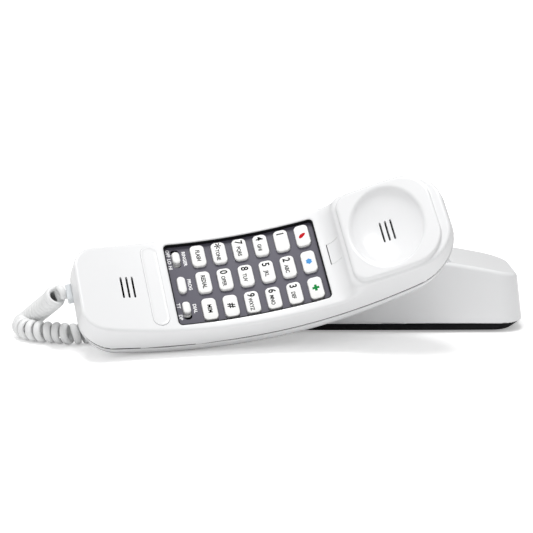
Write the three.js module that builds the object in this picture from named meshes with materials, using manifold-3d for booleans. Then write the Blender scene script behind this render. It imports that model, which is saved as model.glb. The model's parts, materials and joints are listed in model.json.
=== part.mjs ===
// Slimline corded telephone: a hand-held receiver with its keypad between earpiece and mouthpiece,
// leaning on the low cradle that it hangs on, and the coiled cord between the two.
// Millimetres, +Z up, standing on Z = 0.
import * as THREE from "three";
import { mergeVertices } from "three/addons/utils/BufferGeometryUtils.js";
import Module from "manifold-3d";

const wasm = await Module();
wasm.setup();

// -------------------------------------------------------------------------------------------------
// Driving dimensions. The handset's own frame: X from mouthpiece to earpiece, Y across, Z out of the
// face, with its origin at the centre of the keypad, level with the key tops.

const KEY_RADIUS = 234; // the key tops lie on an arc along X, hollow towards the user
const FACE_LIFT = 1; // the face stands this far above the key tops
const WALL = 2.4; // moulded shell thickness
const GAP = 0.3; // clearance between neighbouring pieces
const SEAM_GAP = 0.5; // shadow line between the front and back shells
const EDGE = 1.4; // chamfer along the shells' upper edges

// An outline seen along Z: where its ends are, its half widths at the tail, the middle and the nose,
// and the rounding of its corners at the tail and the nose.
function outline(tail, nose, [tailHalf, midHalf, noseHalf], [tailRound, noseRound]) {
  return { tail, nose, tailHalf, midHalf, noseHalf, tailRound, noseRound };
}

const SEAM = outline(-101, 107.5, [29.8, 32, 32], [17, 24]);
const FACE = outline(-96.5, 62, [24.6, 30.8, 30.8], [11, 0.5]);
const HEAD_FOOT = outline(45, 107.5, [31.8, 32, 32], [0.5, 24]);
const HEAD_TOP = outline(49, 104.5, [28.6, 29.6, 28], [6, 20]);
const PAD_TOP = outline(49.8, 99, [27, 28, 25.5], [5, 15]); // the raised pad round the earpiece

// The seam dips here and rises to both ends.
const SEAM_LOW = { x: 0, z: -13, tailRadius: 262, noseRadius: 165 };
const PAD_LEVEL = { x: 50, z: 17.4, slope: 0.28 }; // the earpiece pad is a sloping plane
const PAD_STEP = 2.4; // height of the pad above the head's shoulder
const BACK_DEPTH = 13.5; // how far the back shell reaches below the seam at mid length
const BACK_TAPER = 0.25; // share of that depth lost at the ends
const BACK_LIP = 1; // upright part of the back shell under the seam
const BACK_ROUND = 12; // rounding from that lip to the flat of the back
const PAD_FLARE = 0.5; // the pad is this much wider at its foot
const PAD_ROOT = 3; // how far its solid reaches into the head
const OPEN_BELOW = 2; // the front shell's hollow is open this far below the seam
const INNER_EDGE = 0.4;
const THROUGH = 20; // reach of a cut that goes right through

// Keypad.
const KEY_PITCH = { along: 11.8, across: 17.1 };
const KEY_SIZE = { along: 7.9, across: 13.4, round: 2.4 };
const KEY_TRAVEL = 1.5;
const BEZEL_DEPTH = 1.75; // the dark bezel lies this far below the key tops
const BEZEL_THICKNESS = 1.5;
const BEZEL_LIP = 1; // the bezel reaches this far under the shell round the recess
const RECESS = { from: -47.6, to: 36.8, halfWidth: 25.7, round: 2.5 };
const SMALL_ROW = -41.8; // arc length to the row of switches
const RINGER = { y: 17.6, travel: 2 };
const DIAL = { y: -14.4, travel: 3 };
const KNOB = { along: 4.3, across: 7.3, round: 1.2 };
const PROG = { along: 4.7, across: 10.3, round: 2.3 };
const FLANGE = { thickness: 0.8, margin: 0.8 }; // the rim that holds a key under the bezel
const BOARD_TOP = -10.2;
const BOARD = { x: -5.4, along: 90, across: 50, thickness: 1.6, tongueX: 44, tongue: 16 };
const SWITCH_BODY = { along: 7, across: 15 };

// Earpiece and mouthpiece.
const DISH = { x: 72.4, z: 24.1, along: 20.4, across: 24.2, depth: 7.4 };
const EAR_SLOT = { x: 73.4, length: 12.8, width: 1, pitch: 2.9 };
const MOUTH_SLOT = { x: -70.7, length: 13.3, width: 1, pitch: 3 };
const NAMEPLATE = { x: -56.2, along: 9.4, across: 50, depth: 0.6, proud: 0.2, round: 4.5 };
const LEVER = { from: 40.9, to: 50.2, halfWidth: 6.3, rise: 4, endGap: 0.8, root: 2.2, holeTop: 11 };
const SPRING = { x: 46, radius: 2.2 };
const RECEIVER = {
  clearance: 2.6, // below the dish
  gasket: 1,
  opening: 9.5,
  radius: 14.5,
  height: 5.7,
  magnetRadius: 8,
  magnetDepth: 2.5,
};
const MICROPHONE = { bottom: 2, top: 6.8, radius: 4.6 };
const SOUNDER = { x: 20, bottom: -19, top: -12.4, radius: 11, vent: 1.5, ventDepth: 3 };

// Fasteners, and the jacks and plugs of the cord. The handset's jack is off its middle, towards +Y.
const SCREW_POSTS = [
  { x: -58, y: 0, roof: 6.6 },
  { x: 48, y: 21, roof: 5.5 },
  { x: 48, y: -21, roof: 5.5 },
];
const SCREW = { shank: 1.2, head: 2.6, headHeight: 1.6, pilot: 1.5, post: 3.6, shankTop: 6, sink: 9 };
const DRIVE = { length: 3.2, width: 0.8, depth: 0.8 };
const JACK = { across: 11.2, high: 6.6, y: 9, z: 1.6, depth: 13, casing: 0.7, inset: WALL + 2.5 };
const PLUG = { across: 9.8, high: 5.4, proud: 3.2, short: 3 };

// The base's own frame: X along, Y across, standing on Z = 0.
const BASE_FOOT = outline(-100, 100, [31, 32, 31], [15, 15]);
const BASE_TOP = outline(-96, 96.5, [29.3, 30.2, 29.3], [14, 14]);
const PLATE_FOOT = outline(-93, 93, [29, 30.5, 29], [12, 12]);
const BASE_HEIGHT = 41.5;
const BASE_BOTTOM = 5.1; // lower rim of the white housing
const PLATE = { bottom: 1, top: 4.8 };
// The top is level between these and falls to both ends.
const BASE_CROWN = { from: -20, to: 40, tailDrop: 14, noseDrop: 10, power: 1.5 };
const EAR_WELL = { x: 31, along: 54, across: 56.6, floor: 21, round: 7 };
const MOUTH_WELL = { x: -72, along: 34, across: 50, floor: 27, round: 7 };
const BASE_SCREWS = [[-82, 22], [-82, -22], [84, 22], [84, -22]];
const BASE_SCREW_TOP = 15;
const FEET = [-84, -60, 62, 84];
const FOOT = { along: 12, across: 34, round: 4 };
const BASE_JACK = { ...JACK, y: 0, z: 14, inset: WALL + 3.7 };
// The tab that holds the handset when the base hangs on a wall.
const TAB = { x: 3, bottom: 29.3, top: 34.7, along: 7.4, across: 12 };
const KEYHOLE = { places: [-41, 42], entry: 9, neck: 4.2, length: 10 };
const BALLAST = { x: 42, along: 60, across: 40, top: 11 };
const BASE_BOARD = { x: -30, along: 40, across: 40, bottom: 7, top: 8.6 };

// Where the handset leans on the base's front edge, and the way of the cord, in the base's frame.
const HANDSET_PLACE = { x: -53.8, y: -62.3, roll: 48.65, pitch: -1.27, yaw: 12.09 };
const CORD_RADIUS = 5.6;
const CORD_POINTS = [
  [-167.2, -60, 24.9],
  [-176.4, -45, 15.8],
  [-184.2, -33.6, 8.2],
  [-187, -39.5, 6.4],
  [-183.3, -49.2, 6.3],
  [-175, -55.2, 6.3],
  [-166, -58.2, 6.3],
  [-154, -61, 6.3],
  [-142, -52, 6.4],
  [-132, -30, 7.5],
  [-123, -8, 11.5],
  [-112, 0, 13.9],
];

// -------------------------------------------------------------------------------------------------
// Solids: three.js geometries in and out of manifold-3d, which only joins and cuts.

function solid(geometry) {
  const plain = geometry.clone();
  plain.deleteAttribute("normal");
  plain.deleteAttribute("uv");
  const merged = mergeVertices(plain, 1e-4);
  const triVerts = new Uint32Array(merged.index.array);
  const vertProperties = new Float32Array(merged.attributes.position.array);
  return new wasm.Manifold(new wasm.Mesh({ numProp: 3, vertProperties, triVerts }));
}

function geometryOf(made) {
  const mesh = made.getMesh();
  const geometry = new THREE.BufferGeometry();
  geometry.setAttribute("position", new THREE.BufferAttribute(mesh.vertProperties, 3));
  geometry.setIndex(new THREE.BufferAttribute(mesh.triVerts, 1));
  const flat = geometry.toNonIndexed();
  flat.computeVertexNormals();
  return flat;
}

const join = (...geometries) => geometries.map(asSolid).reduce((a, b) => a.add(b));
const cut = (body, ...tools) => tools.map(asSolid).reduce((a, b) => a.subtract(b), asSolid(body));
const asSolid = (made) => (made.isBufferGeometry ? solid(made) : made);
const asGeometry = (made) => (made.isBufferGeometry ? made : geometryOf(made));

// -------------------------------------------------------------------------------------------------
// Shapes.

function roundedRectangle(sx, sy, r) {
  const shape = new THREE.Shape();
  const [hx, hy] = [sx / 2, sy / 2];
  shape.moveTo(hx, -hy + r);
  shape.absarc(hx - r, hy - r, r, 0, Math.PI / 2, false);
  shape.absarc(-hx + r, hy - r, r, Math.PI / 2, Math.PI, false);
  shape.absarc(-hx + r, -hy + r, r, Math.PI, 1.5 * Math.PI, false);
  shape.absarc(hx - r, -hy + r, r, 1.5 * Math.PI, 2 * Math.PI, false);
  return shape;
}

// A rounded-rectangle prism centred on (x, y), from z = bottom to z = top.
function slab(x, y, bottom, top, sx, sy, r, curveSegments = 3) {
  const settings = { depth: top - bottom, bevelEnabled: false, curveSegments };
  return new THREE.ExtrudeGeometry(roundedRectangle(sx, sy, r), settings).translate(x, y, bottom);
}

function box(x, y, bottom, top, sx, sy) {
  return new THREE.BoxGeometry(sx, sy, top - bottom).translate(x, y, (bottom + top) / 2);
}

function upright(x, y, bottom, top, radius, segments = 20) {
  const cylinder = new THREE.CylinderGeometry(radius, radius, top - bottom, segments).rotateX(Math.PI / 2);
  return cylinder.translate(x, y, (bottom + top) / 2);
}

// A prism across the handset or base: an outline in X and Z, from y = -halfWidth to y = +halfWidth.
function across(points, halfWidth, y = 0) {
  const shape = new THREE.Shape(points.map(([x, z]) => new THREE.Vector2(x, z)));
  const geometry = new THREE.ExtrudeGeometry(shape, { depth: 2 * halfWidth, bevelEnabled: false });
  return geometry.rotateX(Math.PI / 2).translate(0, y + halfWidth, 0);
}

// A closed skin through rings of points that all run the same way round.
function loft(rings) {
  const count = rings[0].length;
  const position = rings.flat().flatMap((p) => [p.x, p.y, p.z]);
  const index = [];
  for (let r = 0; r + 1 < rings.length; r++) {
    for (let i = 0; i < count; i++) {
      const [a, b] = [r * count + i, r * count + ((i + 1) % count)];
      index.push(a, b + count, b, a, a + count, b + count);
    }
  }
  const last = (rings.length - 1) * count;
  for (let i = 1; i + 1 < count; i++) {
    index.push(0, i, i + 1);
    index.push(last, last + i + 1, last + i);
  }
  const geometry = new THREE.BufferGeometry();
  geometry.setAttribute("position", new THREE.Float32BufferAttribute(position, 3));
  geometry.setIndex(index);
  return geometry;
}

// -------------------------------------------------------------------------------------------------
// Curves along the handset and the base.

const arcAt = (x) => KEY_RADIUS - Math.sqrt(KEY_RADIUS ** 2 - x ** 2);
const faceAt = (x) => arcAt(x) + FACE_LIFT;
const padAt = (x) => PAD_LEVEL.z + (x - PAD_LEVEL.x) * PAD_LEVEL.slope;
const backDepthAt = (x) => BACK_DEPTH * (1 - BACK_TAPER * Math.abs(x / SEAM.nose) ** 3);

function seamAt(x) {
  const radius = x < SEAM_LOW.x ? SEAM_LOW.tailRadius : SEAM_LOW.noseRadius;
  return SEAM_LOW.z + (x - SEAM_LOW.x) ** 2 / (2 * radius);
}

function baseTopAt(x) {
  const { from, to, tailDrop, noseDrop, power } = BASE_CROWN;
  const tail = Math.max(from - x, 0) / (from - BASE_FOOT.tail);
  const nose = Math.max(x - to, 0) / (BASE_FOOT.nose - to);
  return BASE_HEIGHT - tailDrop * tail ** power - noseDrop * nose ** power;
}

// An outline grown by a margin, or shrunk by a negative one.
function grown({ tail, nose, tailHalf, midHalf, noseHalf, tailRound, noseRound }, margin) {
  const halves = [tailHalf, midHalf, noseHalf].map((half) => half + margin);
  const rounds = [tailRound, noseRound].map((round) => Math.max(round + margin, 0.4));
  return outline(tail - margin, nose + margin, halves, rounds);
}

const CORNER_STEPS = 4;
const BODY_STEPS = 9;

// Stations along an outline, close together round its corners, each with its half width.
function stations({ tail, nose, tailHalf, midHalf, noseHalf, tailRound, noseRound }) {
  const middle = (tail + nose) / 2;
  const straight = (x) => {
    const [end, endHalf] = x < middle ? [tail, tailHalf] : [nose, noseHalf];
    return THREE.MathUtils.lerp(midHalf, endHalf, ((x - middle) / (end - middle)) ** 2);
  };
  const corner = (i, end, round) => {
    const angle = (i / CORNER_STEPS) * (Math.PI / 2);
    const x = end + round * (1 - Math.cos(angle));
    return { x, half: straight(x) - Math.abs(round) * (1 - Math.sin(angle)) };
  };
  const found = [];
  for (let i = 0; i <= CORNER_STEPS; i++) found.push(corner(i, tail, tailRound));
  for (let i = 1; i < BODY_STEPS; i++) {
    const x = THREE.MathUtils.lerp(tail + tailRound, nose - noseRound, i / BODY_STEPS);
    found.push({ x, half: straight(x) });
  }
  for (let i = CORNER_STEPS; i >= 0; i--) found.push(corner(i, nose, -noseRound));
  return found;
}

// A block between a lower and an upper outline, each at its own height curve, with a chamfered upper edge.
function block(lower, lowerAt, upper, upperAt, edge = EDGE) {
  const [low, high, crown] = [stations(lower), stations(upper), stations(grown(upper, -edge))];
  return loft(
    low.map((_, i) => {
      const side = [
        [low[i], lowerAt(low[i].x)],
        [high[i], upperAt(high[i].x) - edge],
        [crown[i], upperAt(crown[i].x)],
      ];
      const near = side.map(([s, z]) => new THREE.Vector3(s.x, -s.half, z));
      const far = side.map(([s, z]) => new THREE.Vector3(s.x, s.half, z));
      return [...near, ...far.reverse()];
    }),
  );
}

// The back shell's outside, or its inside when shrunk: an upright lip, then a rounding to the flat.
function backBody(margin, topAt) {
  return loft(
    stations(grown(SEAM, margin)).map(({ x, half }) => {
      const depth = backDepthAt(x) + margin;
      const lip = Math.min(BACK_LIP, depth / 4);
      const side = [[half, topAt(x)]];
      for (const degrees of [0, 30, 60, 90]) {
        const angle = THREE.MathUtils.degToRad(degrees);
        const inset = Math.min(BACK_ROUND, half * 0.7) * (1 - Math.cos(angle));
        side.push([half - inset, seamAt(x) - SEAM_GAP - lip - (depth - lip) * Math.sin(angle)]);
      }
      const far = side.map(([y, z]) => new THREE.Vector3(x, y, z));
      const near = side.map(([y, z]) => new THREE.Vector3(x, -y, z));
      return [...far, ...near.reverse()];
    }),
  );
}

// A band that follows the keypad's arc, between two depths below the key tops.
function arcBand(from, to, halfWidth, topDepth, bottomDepth) {
  const steps = 8;
  const row = (depth) =>
    Array.from({ length: steps + 1 }, (_, i) => {
      const angle = THREE.MathUtils.lerp(from, to, i / steps) / KEY_RADIUS;
      const radius = KEY_RADIUS + depth;
      return [radius * Math.sin(angle), KEY_RADIUS - radius * Math.cos(angle)];
    });
  return across([...row(bottomDepth), ...row(topDepth).reverse()], halfWidth);
}

// Moves a shape made about the origin to arc length s along the keypad, square to the arc.
function onArc(shape, s, y) {
  const angle = s / KEY_RADIUS;
  const middle = new THREE.Matrix4().makeTranslation(0, y, KEY_RADIUS);
  middle.multiply(new THREE.Matrix4().makeRotationY(-angle));
  middle.multiply(new THREE.Matrix4().makeTranslation(0, 0, -KEY_RADIUS));
  return asGeometry(shape).applyMatrix4(middle);
}

// -------------------------------------------------------------------------------------------------
// Finishes.

const finish = (color, roughness, metalness = 0) => ({ color, roughness, metalness });
const WHITE = finish(0xf1f2f2, 0.28);
const KEY_WHITE = finish(0xeeeeec, 0.42);
const SLATE = finish(0x3d4048, 0.5);
const BLACK = finish(0x131314, 0.55);
const RUBBER = finish(0x2b2b2d, 0.85);
const GREY_PLASTIC = finish(0x8c8f94, 0.5);
const BOARD_GREEN = finish(0x1f6b3c, 0.5);
const STEEL = finish(0xb4b6ba, 0.3, 1);
const GOLD = finish(0xc9a54a, 0.35, 1);
const CLEAR = finish(0xdfe3e4, 0.2);

const handset = new THREE.Group();
const base = new THREE.Group();

function piece(parent, name, shape, look) {
  const mesh = new THREE.Mesh(geometryOf(asSolid(shape)), new THREE.MeshStandardMaterial(look));
  mesh.name = name;
  parent.add(mesh);
}

// -------------------------------------------------------------------------------------------------
// Handset shells.

function slots({ x, length, width, pitch }, bottom, top) {
  return [-1, 0, 1].map((i) => box(x + i * pitch, 0, bottom, top, width, length));
}

function bowl(margin) {
  const sphere = new THREE.SphereGeometry(1, 20, 14).rotateX(Math.PI / 2);
  sphere.scale(DISH.along + margin, DISH.across + margin, DISH.depth + margin);
  return sphere.rotateY(-Math.atan(PAD_LEVEL.slope)).translate(DISH.x, 0, DISH.z);
}

function frontOutside() {
  const shoulderAt = (x) => padAt(x) - PAD_STEP;
  return join(
    block(SEAM, seamAt, FACE, faceAt),
    block(HEAD_FOOT, seamAt, HEAD_TOP, shoulderAt),
    block(grown(PAD_TOP, PAD_FLARE), (x) => shoulderAt(x) - PAD_ROOT, PAD_TOP, padAt),
  );
}

function frontInside() {
  const below = (x) => seamAt(x) - OPEN_BELOW;
  const ceiling = (x) => padAt(x) - PAD_STEP - WALL;
  const hollows = join(
    block(grown(SEAM, -WALL), below, grown(FACE, -WALL), (x) => faceAt(x) - WALL, INNER_EDGE),
    block(grown(HEAD_FOOT, -WALL), below, grown(HEAD_TOP, -WALL), ceiling),
  );
  return cut(hollows, bowl(WALL));
}

// Lays a shape on the face at the nameplate.
function onNameplate(geometry) {
  const angle = Math.asin(NAMEPLATE.x / KEY_RADIUS);
  return geometry.rotateY(-angle).translate(NAMEPLATE.x, 0, faceAt(NAMEPLATE.x));
}

function nameplateSlab(bottom, top, margin) {
  const { along, across: wide, round } = NAMEPLATE;
  return onNameplate(slab(0, 0, bottom, top, along + margin, wide + margin, round, 5));
}

function frontShell() {
  const recessX = (RECESS.from + RECESS.to) / 2;
  const recessSize = [RECESS.to - RECESS.from, 2 * RECESS.halfWidth, RECESS.round];
  const recess = slab(recessX, 0, -THROUGH, THROUGH, ...recessSize);
  const leverX = (LEVER.from + LEVER.to) / 2;
  const leverAlong = LEVER.to - LEVER.from + 2 * GAP;
  const leverHole = box(leverX, 0, -THROUGH, LEVER.holeTop, leverAlong, 2 * (LEVER.halfWidth + GAP));
  const platePocket = nameplateSlab(-NAMEPLATE.depth, 4, GAP);
  let shell = cut(frontOutside(), frontInside(), bowl(0), recess, leverHole, platePocket);
  for (const { x, y, roof } of SCREW_POSTS) {
    shell = join(shell, upright(x, y, seamAt(x) + 0.4, roof, SCREW.post));
  }
  for (const { x, y } of SCREW_POSTS) {
    shell = cut(shell, upright(x, y, seamAt(x) - 1, seamAt(x) + SCREW.shankTop + 1, SCREW.pilot));
  }
  return cut(shell, ...slots(EAR_SLOT, 8, 24), ...slots(MOUTH_SLOT, 4, 20));
}

const screwHeadAt = (x) => seamAt(x) - SEAM_GAP - SCREW.sink;

function backShell() {
  const outside = solid(backBody(0, (x) => seamAt(x) - SEAM_GAP));
  const inside = backBody(-WALL, (x) => seamAt(x) + 2);
  let shell = cut(outside, inside);
  for (const { x, y } of SCREW_POSTS) {
    const root = screwHeadAt(x) - 2.1;
    shell = join(shell, upright(x, y, root, seamAt(x) - SEAM_GAP, SCREW.post + 0.6));
  }
  for (const { x, y } of SCREW_POSTS) {
    const shankHole = upright(x, y, -2 * THROUGH, seamAt(x) + 1, SCREW.shank + GAP);
    const headHole = upright(x, y, -2 * THROUGH, screwHeadAt(x), SCREW.head + GAP);
    shell = cut(shell, shankHole, headHole);
  }
  const opening = box(SEAM.tail, JACK.y, JACK.z - JACK.high / 2, JACK.z + JACK.high / 2, 16, JACK.across);
  return cut(shell, opening);
}

piece(handset, "handset_front_shell", frontShell(), WHITE);
piece(handset, "handset_back_shell", backShell(), WHITE);
SCREW_POSTS.forEach(({ x, y }, i) => {
  const seat = screwHeadAt(x) - GAP;
  const foot = seat - SCREW.headHeight;
  const screw = join(
    upright(x, y, foot, seat, SCREW.head, 16),
    upright(x, y, seat - 0.5, seamAt(x) + SCREW.shankTop, SCREW.shank, 12),
  );
  const drive = box(x, y, foot - 1, foot + DRIVE.depth, DRIVE.length, DRIVE.width);
  piece(handset, "handset_screw_" + (i + 1), cut(screw, drive), STEEL);
});
piece(handset, "nameplate", nameplateSlab(-NAMEPLATE.depth + GAP, NAMEPLATE.proud, -GAP), WHITE);

// -------------------------------------------------------------------------------------------------
// Keypad: keys with flanges under the bezel, a rubber mat and the circuit board.

const KEY_ROWS = [
  ["key_flash", "key_redial", "key_mem"],
  ["key_star", "key_0", "key_pound"],
  ["key_7", "key_8", "key_9"],
  ["key_4", "key_5", "key_6"],
  ["key_1", "key_2", "key_3"],
  ["key_fire", "key_police", "key_medical"],
];
const FLANGE_TOP = -(BEZEL_DEPTH + BEZEL_THICKNESS + GAP);
const FLANGE_BOTTOM = FLANGE_TOP - FLANGE.thickness;
const MAT_TOP = FLANGE_BOTTOM - KEY_TRAVEL - GAP;

const keys = KEY_ROWS.flatMap((row, i) =>
  row.map((name, j) => ({
    name,
    s: (i - (KEY_ROWS.length - 1) / 2) * KEY_PITCH.along,
    y: (1 - j) * KEY_PITCH.across,
    size: KEY_SIZE,
  })),
);
keys.push({ name: "prog_button", s: SMALL_ROW, y: 0, size: PROG });

// A key's or knob's stem, grown by a clearance when it is the hole for one.
function stem({ along, across: wide, round }, top, clearance = 0) {
  const [sx, sy] = [along + 2 * clearance, wide + 2 * clearance];
  return slab(0, 0, FLANGE_BOTTOM, top, sx, sy, round + clearance, 2);
}

function withFlange(size, round) {
  const { margin } = FLANGE;
  const [sx, sy] = [size.along + 2 * margin, size.across + 2 * margin];
  return join(stem(size, 0), slab(0, 0, FLANGE_BOTTOM, FLANGE_TOP, sx, sy, round, 1));
}

function knobSlot({ travelLow, travelHigh }) {
  const length = KNOB.across + travelHigh - travelLow + 2 * GAP;
  const middle = (travelHigh + travelLow) / 2;
  return slab(0, middle, -12, 4, KNOB.along + 2 * GAP, length, KNOB.round);
}

const KNOBS = [
  { name: "ringer", y: RINGER.y, travelLow: -RINGER.travel, travelHigh: RINGER.travel },
  { name: "dial", y: DIAL.y, travelLow: -DIAL.travel, travelHigh: 0 },
];
const switchY = ({ y, travelLow, travelHigh }) => y + (travelLow + travelHigh) / 2;

function bezel() {
  const band = arcBand(
    RECESS.from - BEZEL_LIP,
    RECESS.to + BEZEL_LIP,
    RECESS.halfWidth + BEZEL_LIP,
    BEZEL_DEPTH,
    BEZEL_DEPTH + BEZEL_THICKNESS,
  );
  const holes = keys.map(({ s, y, size }) => onArc(stem(size, 4, GAP), s, y));
  const knobHoles = KNOBS.map((knob) => onArc(knobSlot(knob), SMALL_ROW, knob.y));
  return cut(band, ...holes, ...knobHoles);
}

function mat() {
  const band = arcBand(RECESS.from + 1, RECESS.to - 1, RECESS.halfWidth - 1, -MAT_TOP, 2 * THROUGH);
  const underside = box(0, 0, -4 * THROUGH, BOARD_TOP + GAP, 200, 80);
  const room = { along: SWITCH_BODY.along + 1.6, across: SWITCH_BODY.across + 1 };
  const rooms = KNOBS.map((knob) => box(SMALL_ROW, switchY(knob), -THROUGH, 8, room.along, room.across));
  return cut(band, underside, ...rooms);
}

piece(handset, "keypad_panel", bezel(), SLATE);
for (const { name, s, y, size } of keys) {
  piece(handset, name, onArc(withFlange(size, 1), s, y), KEY_WHITE);
}
piece(handset, "keypad_membrane", mat(), RUBBER);
const board = join(
  box(BOARD.x, 0, BOARD_TOP - BOARD.thickness, BOARD_TOP, BOARD.along, BOARD.across),
  box(BOARD.tongueX, 0, BOARD_TOP - BOARD.thickness, BOARD_TOP, BOARD.tongue, BOARD.tongue),
);
piece(handset, "main_circuit_board", board, BOARD_GREEN);
for (const knob of KNOBS) {
  const roof = arcAt(SMALL_ROW) + FLANGE_BOTTOM - 1.1;
  const body = box(SMALL_ROW, switchY(knob), BOARD_TOP + GAP, roof, SWITCH_BODY.along, SWITCH_BODY.across);
  piece(handset, knob.name + "_knob", onArc(withFlange(KNOB, KNOB.round), SMALL_ROW, knob.y), KEY_WHITE);
  piece(handset, knob.name + "_switch_body", body, BLACK);
}

// The hook lever lies at the foot of the head, and pivots at its keypad end.
function hookLever() {
  const end = LEVER.to - LEVER.endGap;
  const foot = faceAt(LEVER.from);
  const topAt = (x) => faceAt(x) + (LEVER.rise * (x - LEVER.from)) / (LEVER.to - LEVER.from);
  const outline = [
    [LEVER.from, foot - LEVER.root],
    [end, foot - LEVER.root + 1],
    [end, topAt(end) - 0.8],
    [end - 1.2, topAt(end)],
    [LEVER.from + 0.8, foot + 0.2],
    [LEVER.from, foot - 0.4],
  ];
  return across(outline, LEVER.halfWidth);
}

piece(handset, "hook_lever", hookLever(), WHITE);
const springTop = faceAt(LEVER.from) - LEVER.root;
piece(handset, "hook_switch_spring", upright(SPRING.x, 0, BOARD_TOP + GAP, springTop, SPRING.radius), STEEL);

// -------------------------------------------------------------------------------------------------
// Earpiece, mouthpiece, ringer and cord socket.

const disc = (x, bottom, top, radius, segments = 28) => upright(x, 0, bottom, top, radius, segments);

const receiverTop = DISH.z - DISH.depth - WALL - RECEIVER.clearance;
const capsuleTop = receiverTop - RECEIVER.gasket - GAP;
const capsuleBottom = capsuleTop - RECEIVER.height;
const gasketRing = cut(
  disc(EAR_SLOT.x, receiverTop - RECEIVER.gasket, receiverTop, RECEIVER.radius - 0.5),
  disc(EAR_SLOT.x, -THROUGH, THROUGH, RECEIVER.opening),
);
const capsule = join(
  disc(EAR_SLOT.x, capsuleBottom, capsuleTop, RECEIVER.radius),
  disc(EAR_SLOT.x, capsuleBottom - RECEIVER.magnetDepth, capsuleBottom + 0.5, RECEIVER.magnetRadius, 20),
);
piece(handset, "receiver_gasket", gasketRing, RUBBER);
piece(handset, "receiver_capsule", capsule, GREY_PLASTIC);

const boot = cut(
  disc(MOUTH_SLOT.x, MICROPHONE.bottom - 1.8, MICROPHONE.top + GAP, MICROPHONE.radius + 1.8, 20),
  disc(MOUTH_SLOT.x, MICROPHONE.bottom - GAP, THROUGH, MICROPHONE.radius + GAP, 20),
);
const microphone = disc(MOUTH_SLOT.x, MICROPHONE.bottom, MICROPHONE.top, MICROPHONE.radius, 20);
piece(handset, "microphone_boot", boot, RUBBER);
piece(handset, "microphone_capsule", microphone, STEEL);

const sounder = cut(
  disc(SOUNDER.x, SOUNDER.bottom, SOUNDER.top, SOUNDER.radius, 24),
  disc(SOUNDER.x, SOUNDER.bottom - 1, SOUNDER.bottom + SOUNDER.ventDepth, SOUNDER.vent, 10),
);
piece(handset, "ringer_sounder", sounder, BLACK);

// An open-fronted jack whose mouth is at x = mouth, reaching inwards.
function jackShape(mouth, inward, { across: wide, high, y, z, depth, casing }) {
  const middle = mouth + (inward * depth) / 2;
  const half = high / 2;
  const shell = box(middle, y, z - half - casing, z + half + casing, depth, wide + 2 * casing);
  const room = box(middle - inward * 2, y, z - half + GAP, z + half - GAP, depth, wide - 2 * GAP);
  return cut(shell, room);
}

// The plug that fills a jack from x = outside to x = inside.
function plugShape(outside, inside, { y, z }) {
  const half = PLUG.high / 2;
  return box((outside + inside) / 2, y, z - half, z + half, inside - outside, PLUG.across);
}

const jackMouth = SEAM.tail + JACK.inset;
const plugOut = SEAM.tail - PLUG.proud;
const plugIn = jackMouth + JACK.depth - PLUG.short;
piece(handset, "handset_cord_socket", jackShape(jackMouth, 1, JACK), BLACK);
piece(handset, "cord_plug_handset", plugShape(plugOut, plugIn, JACK), CLEAR);

// -------------------------------------------------------------------------------------------------
// Base.

function well({ x, along, across: wide, floor, round }, margin) {
  return slab(x, 0, floor - margin, 80, along + 2 * margin, wide + 2 * margin, round + margin, 4);
}

function baseHousing() {
  const inset = (outline) => grown(outline, -WALL);
  const outside = block(BASE_FOOT, () => BASE_BOTTOM, BASE_TOP, baseTopAt, 2);
  const ceiling = (x) => baseTopAt(x) - WALL;
  const hollow = block(inset(BASE_FOOT), () => BASE_BOTTOM - 1, inset(BASE_TOP), ceiling, 1.5);
  const inside = cut(hollow, well(EAR_WELL, WALL), well(MOUTH_WELL, WALL));
  let housing = cut(outside, inside, well(EAR_WELL, 0), well(MOUTH_WELL, 0));
  for (const [x, y] of BASE_SCREWS) {
    const roof = x < 0 ? MOUTH_WELL.floor - 1 : baseTopAt(x) - 1.5;
    housing = join(housing, upright(x, y, BASE_BOTTOM, roof, SCREW.post));
  }
  for (const [x, y] of BASE_SCREWS) {
    housing = cut(housing, upright(x, y, BASE_BOTTOM - 1, BASE_SCREW_TOP + 1, SCREW.pilot));
  }
  const [low, high] = [BASE_JACK.z - BASE_JACK.high / 2, BASE_JACK.z + BASE_JACK.high / 2];
  const openings = [BASE_FOOT.tail, BASE_FOOT.nose].map((x) => box(x, 0, low, high, 16, BASE_JACK.across));
  const tabHole = box(TAB.x, 0, TAB.bottom - GAP, TAB.top + GAP, TAB.along + 2 * GAP, TAB.across + 2 * GAP);
  return cut(housing, ...openings, tabHole);
}

function basePlate() {
  const shape = block(PLATE_FOOT, () => PLATE.bottom, grown(BASE_FOOT, -1.5), () => PLATE.top, 0.3);
  const seat = PLATE.bottom + SCREW.headHeight + 0.2;
  const screwHoles = BASE_SCREWS.flatMap(([x, y]) => [
    upright(x, y, -1, PLATE.top + 1, SCREW.shank + GAP),
    upright(x, y, -1, seat, SCREW.head + GAP),
  ]);
  const keyholes = KEYHOLE.places.flatMap((x) => [
    upright(x, 0, -1, PLATE.top + 1, KEYHOLE.entry / 2),
    box(x - KEYHOLE.length / 2, 0, -1, PLATE.top + 1, KEYHOLE.length, KEYHOLE.neck),
  ]);
  return cut(shape, ...screwHoles, ...keyholes);
}

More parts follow.
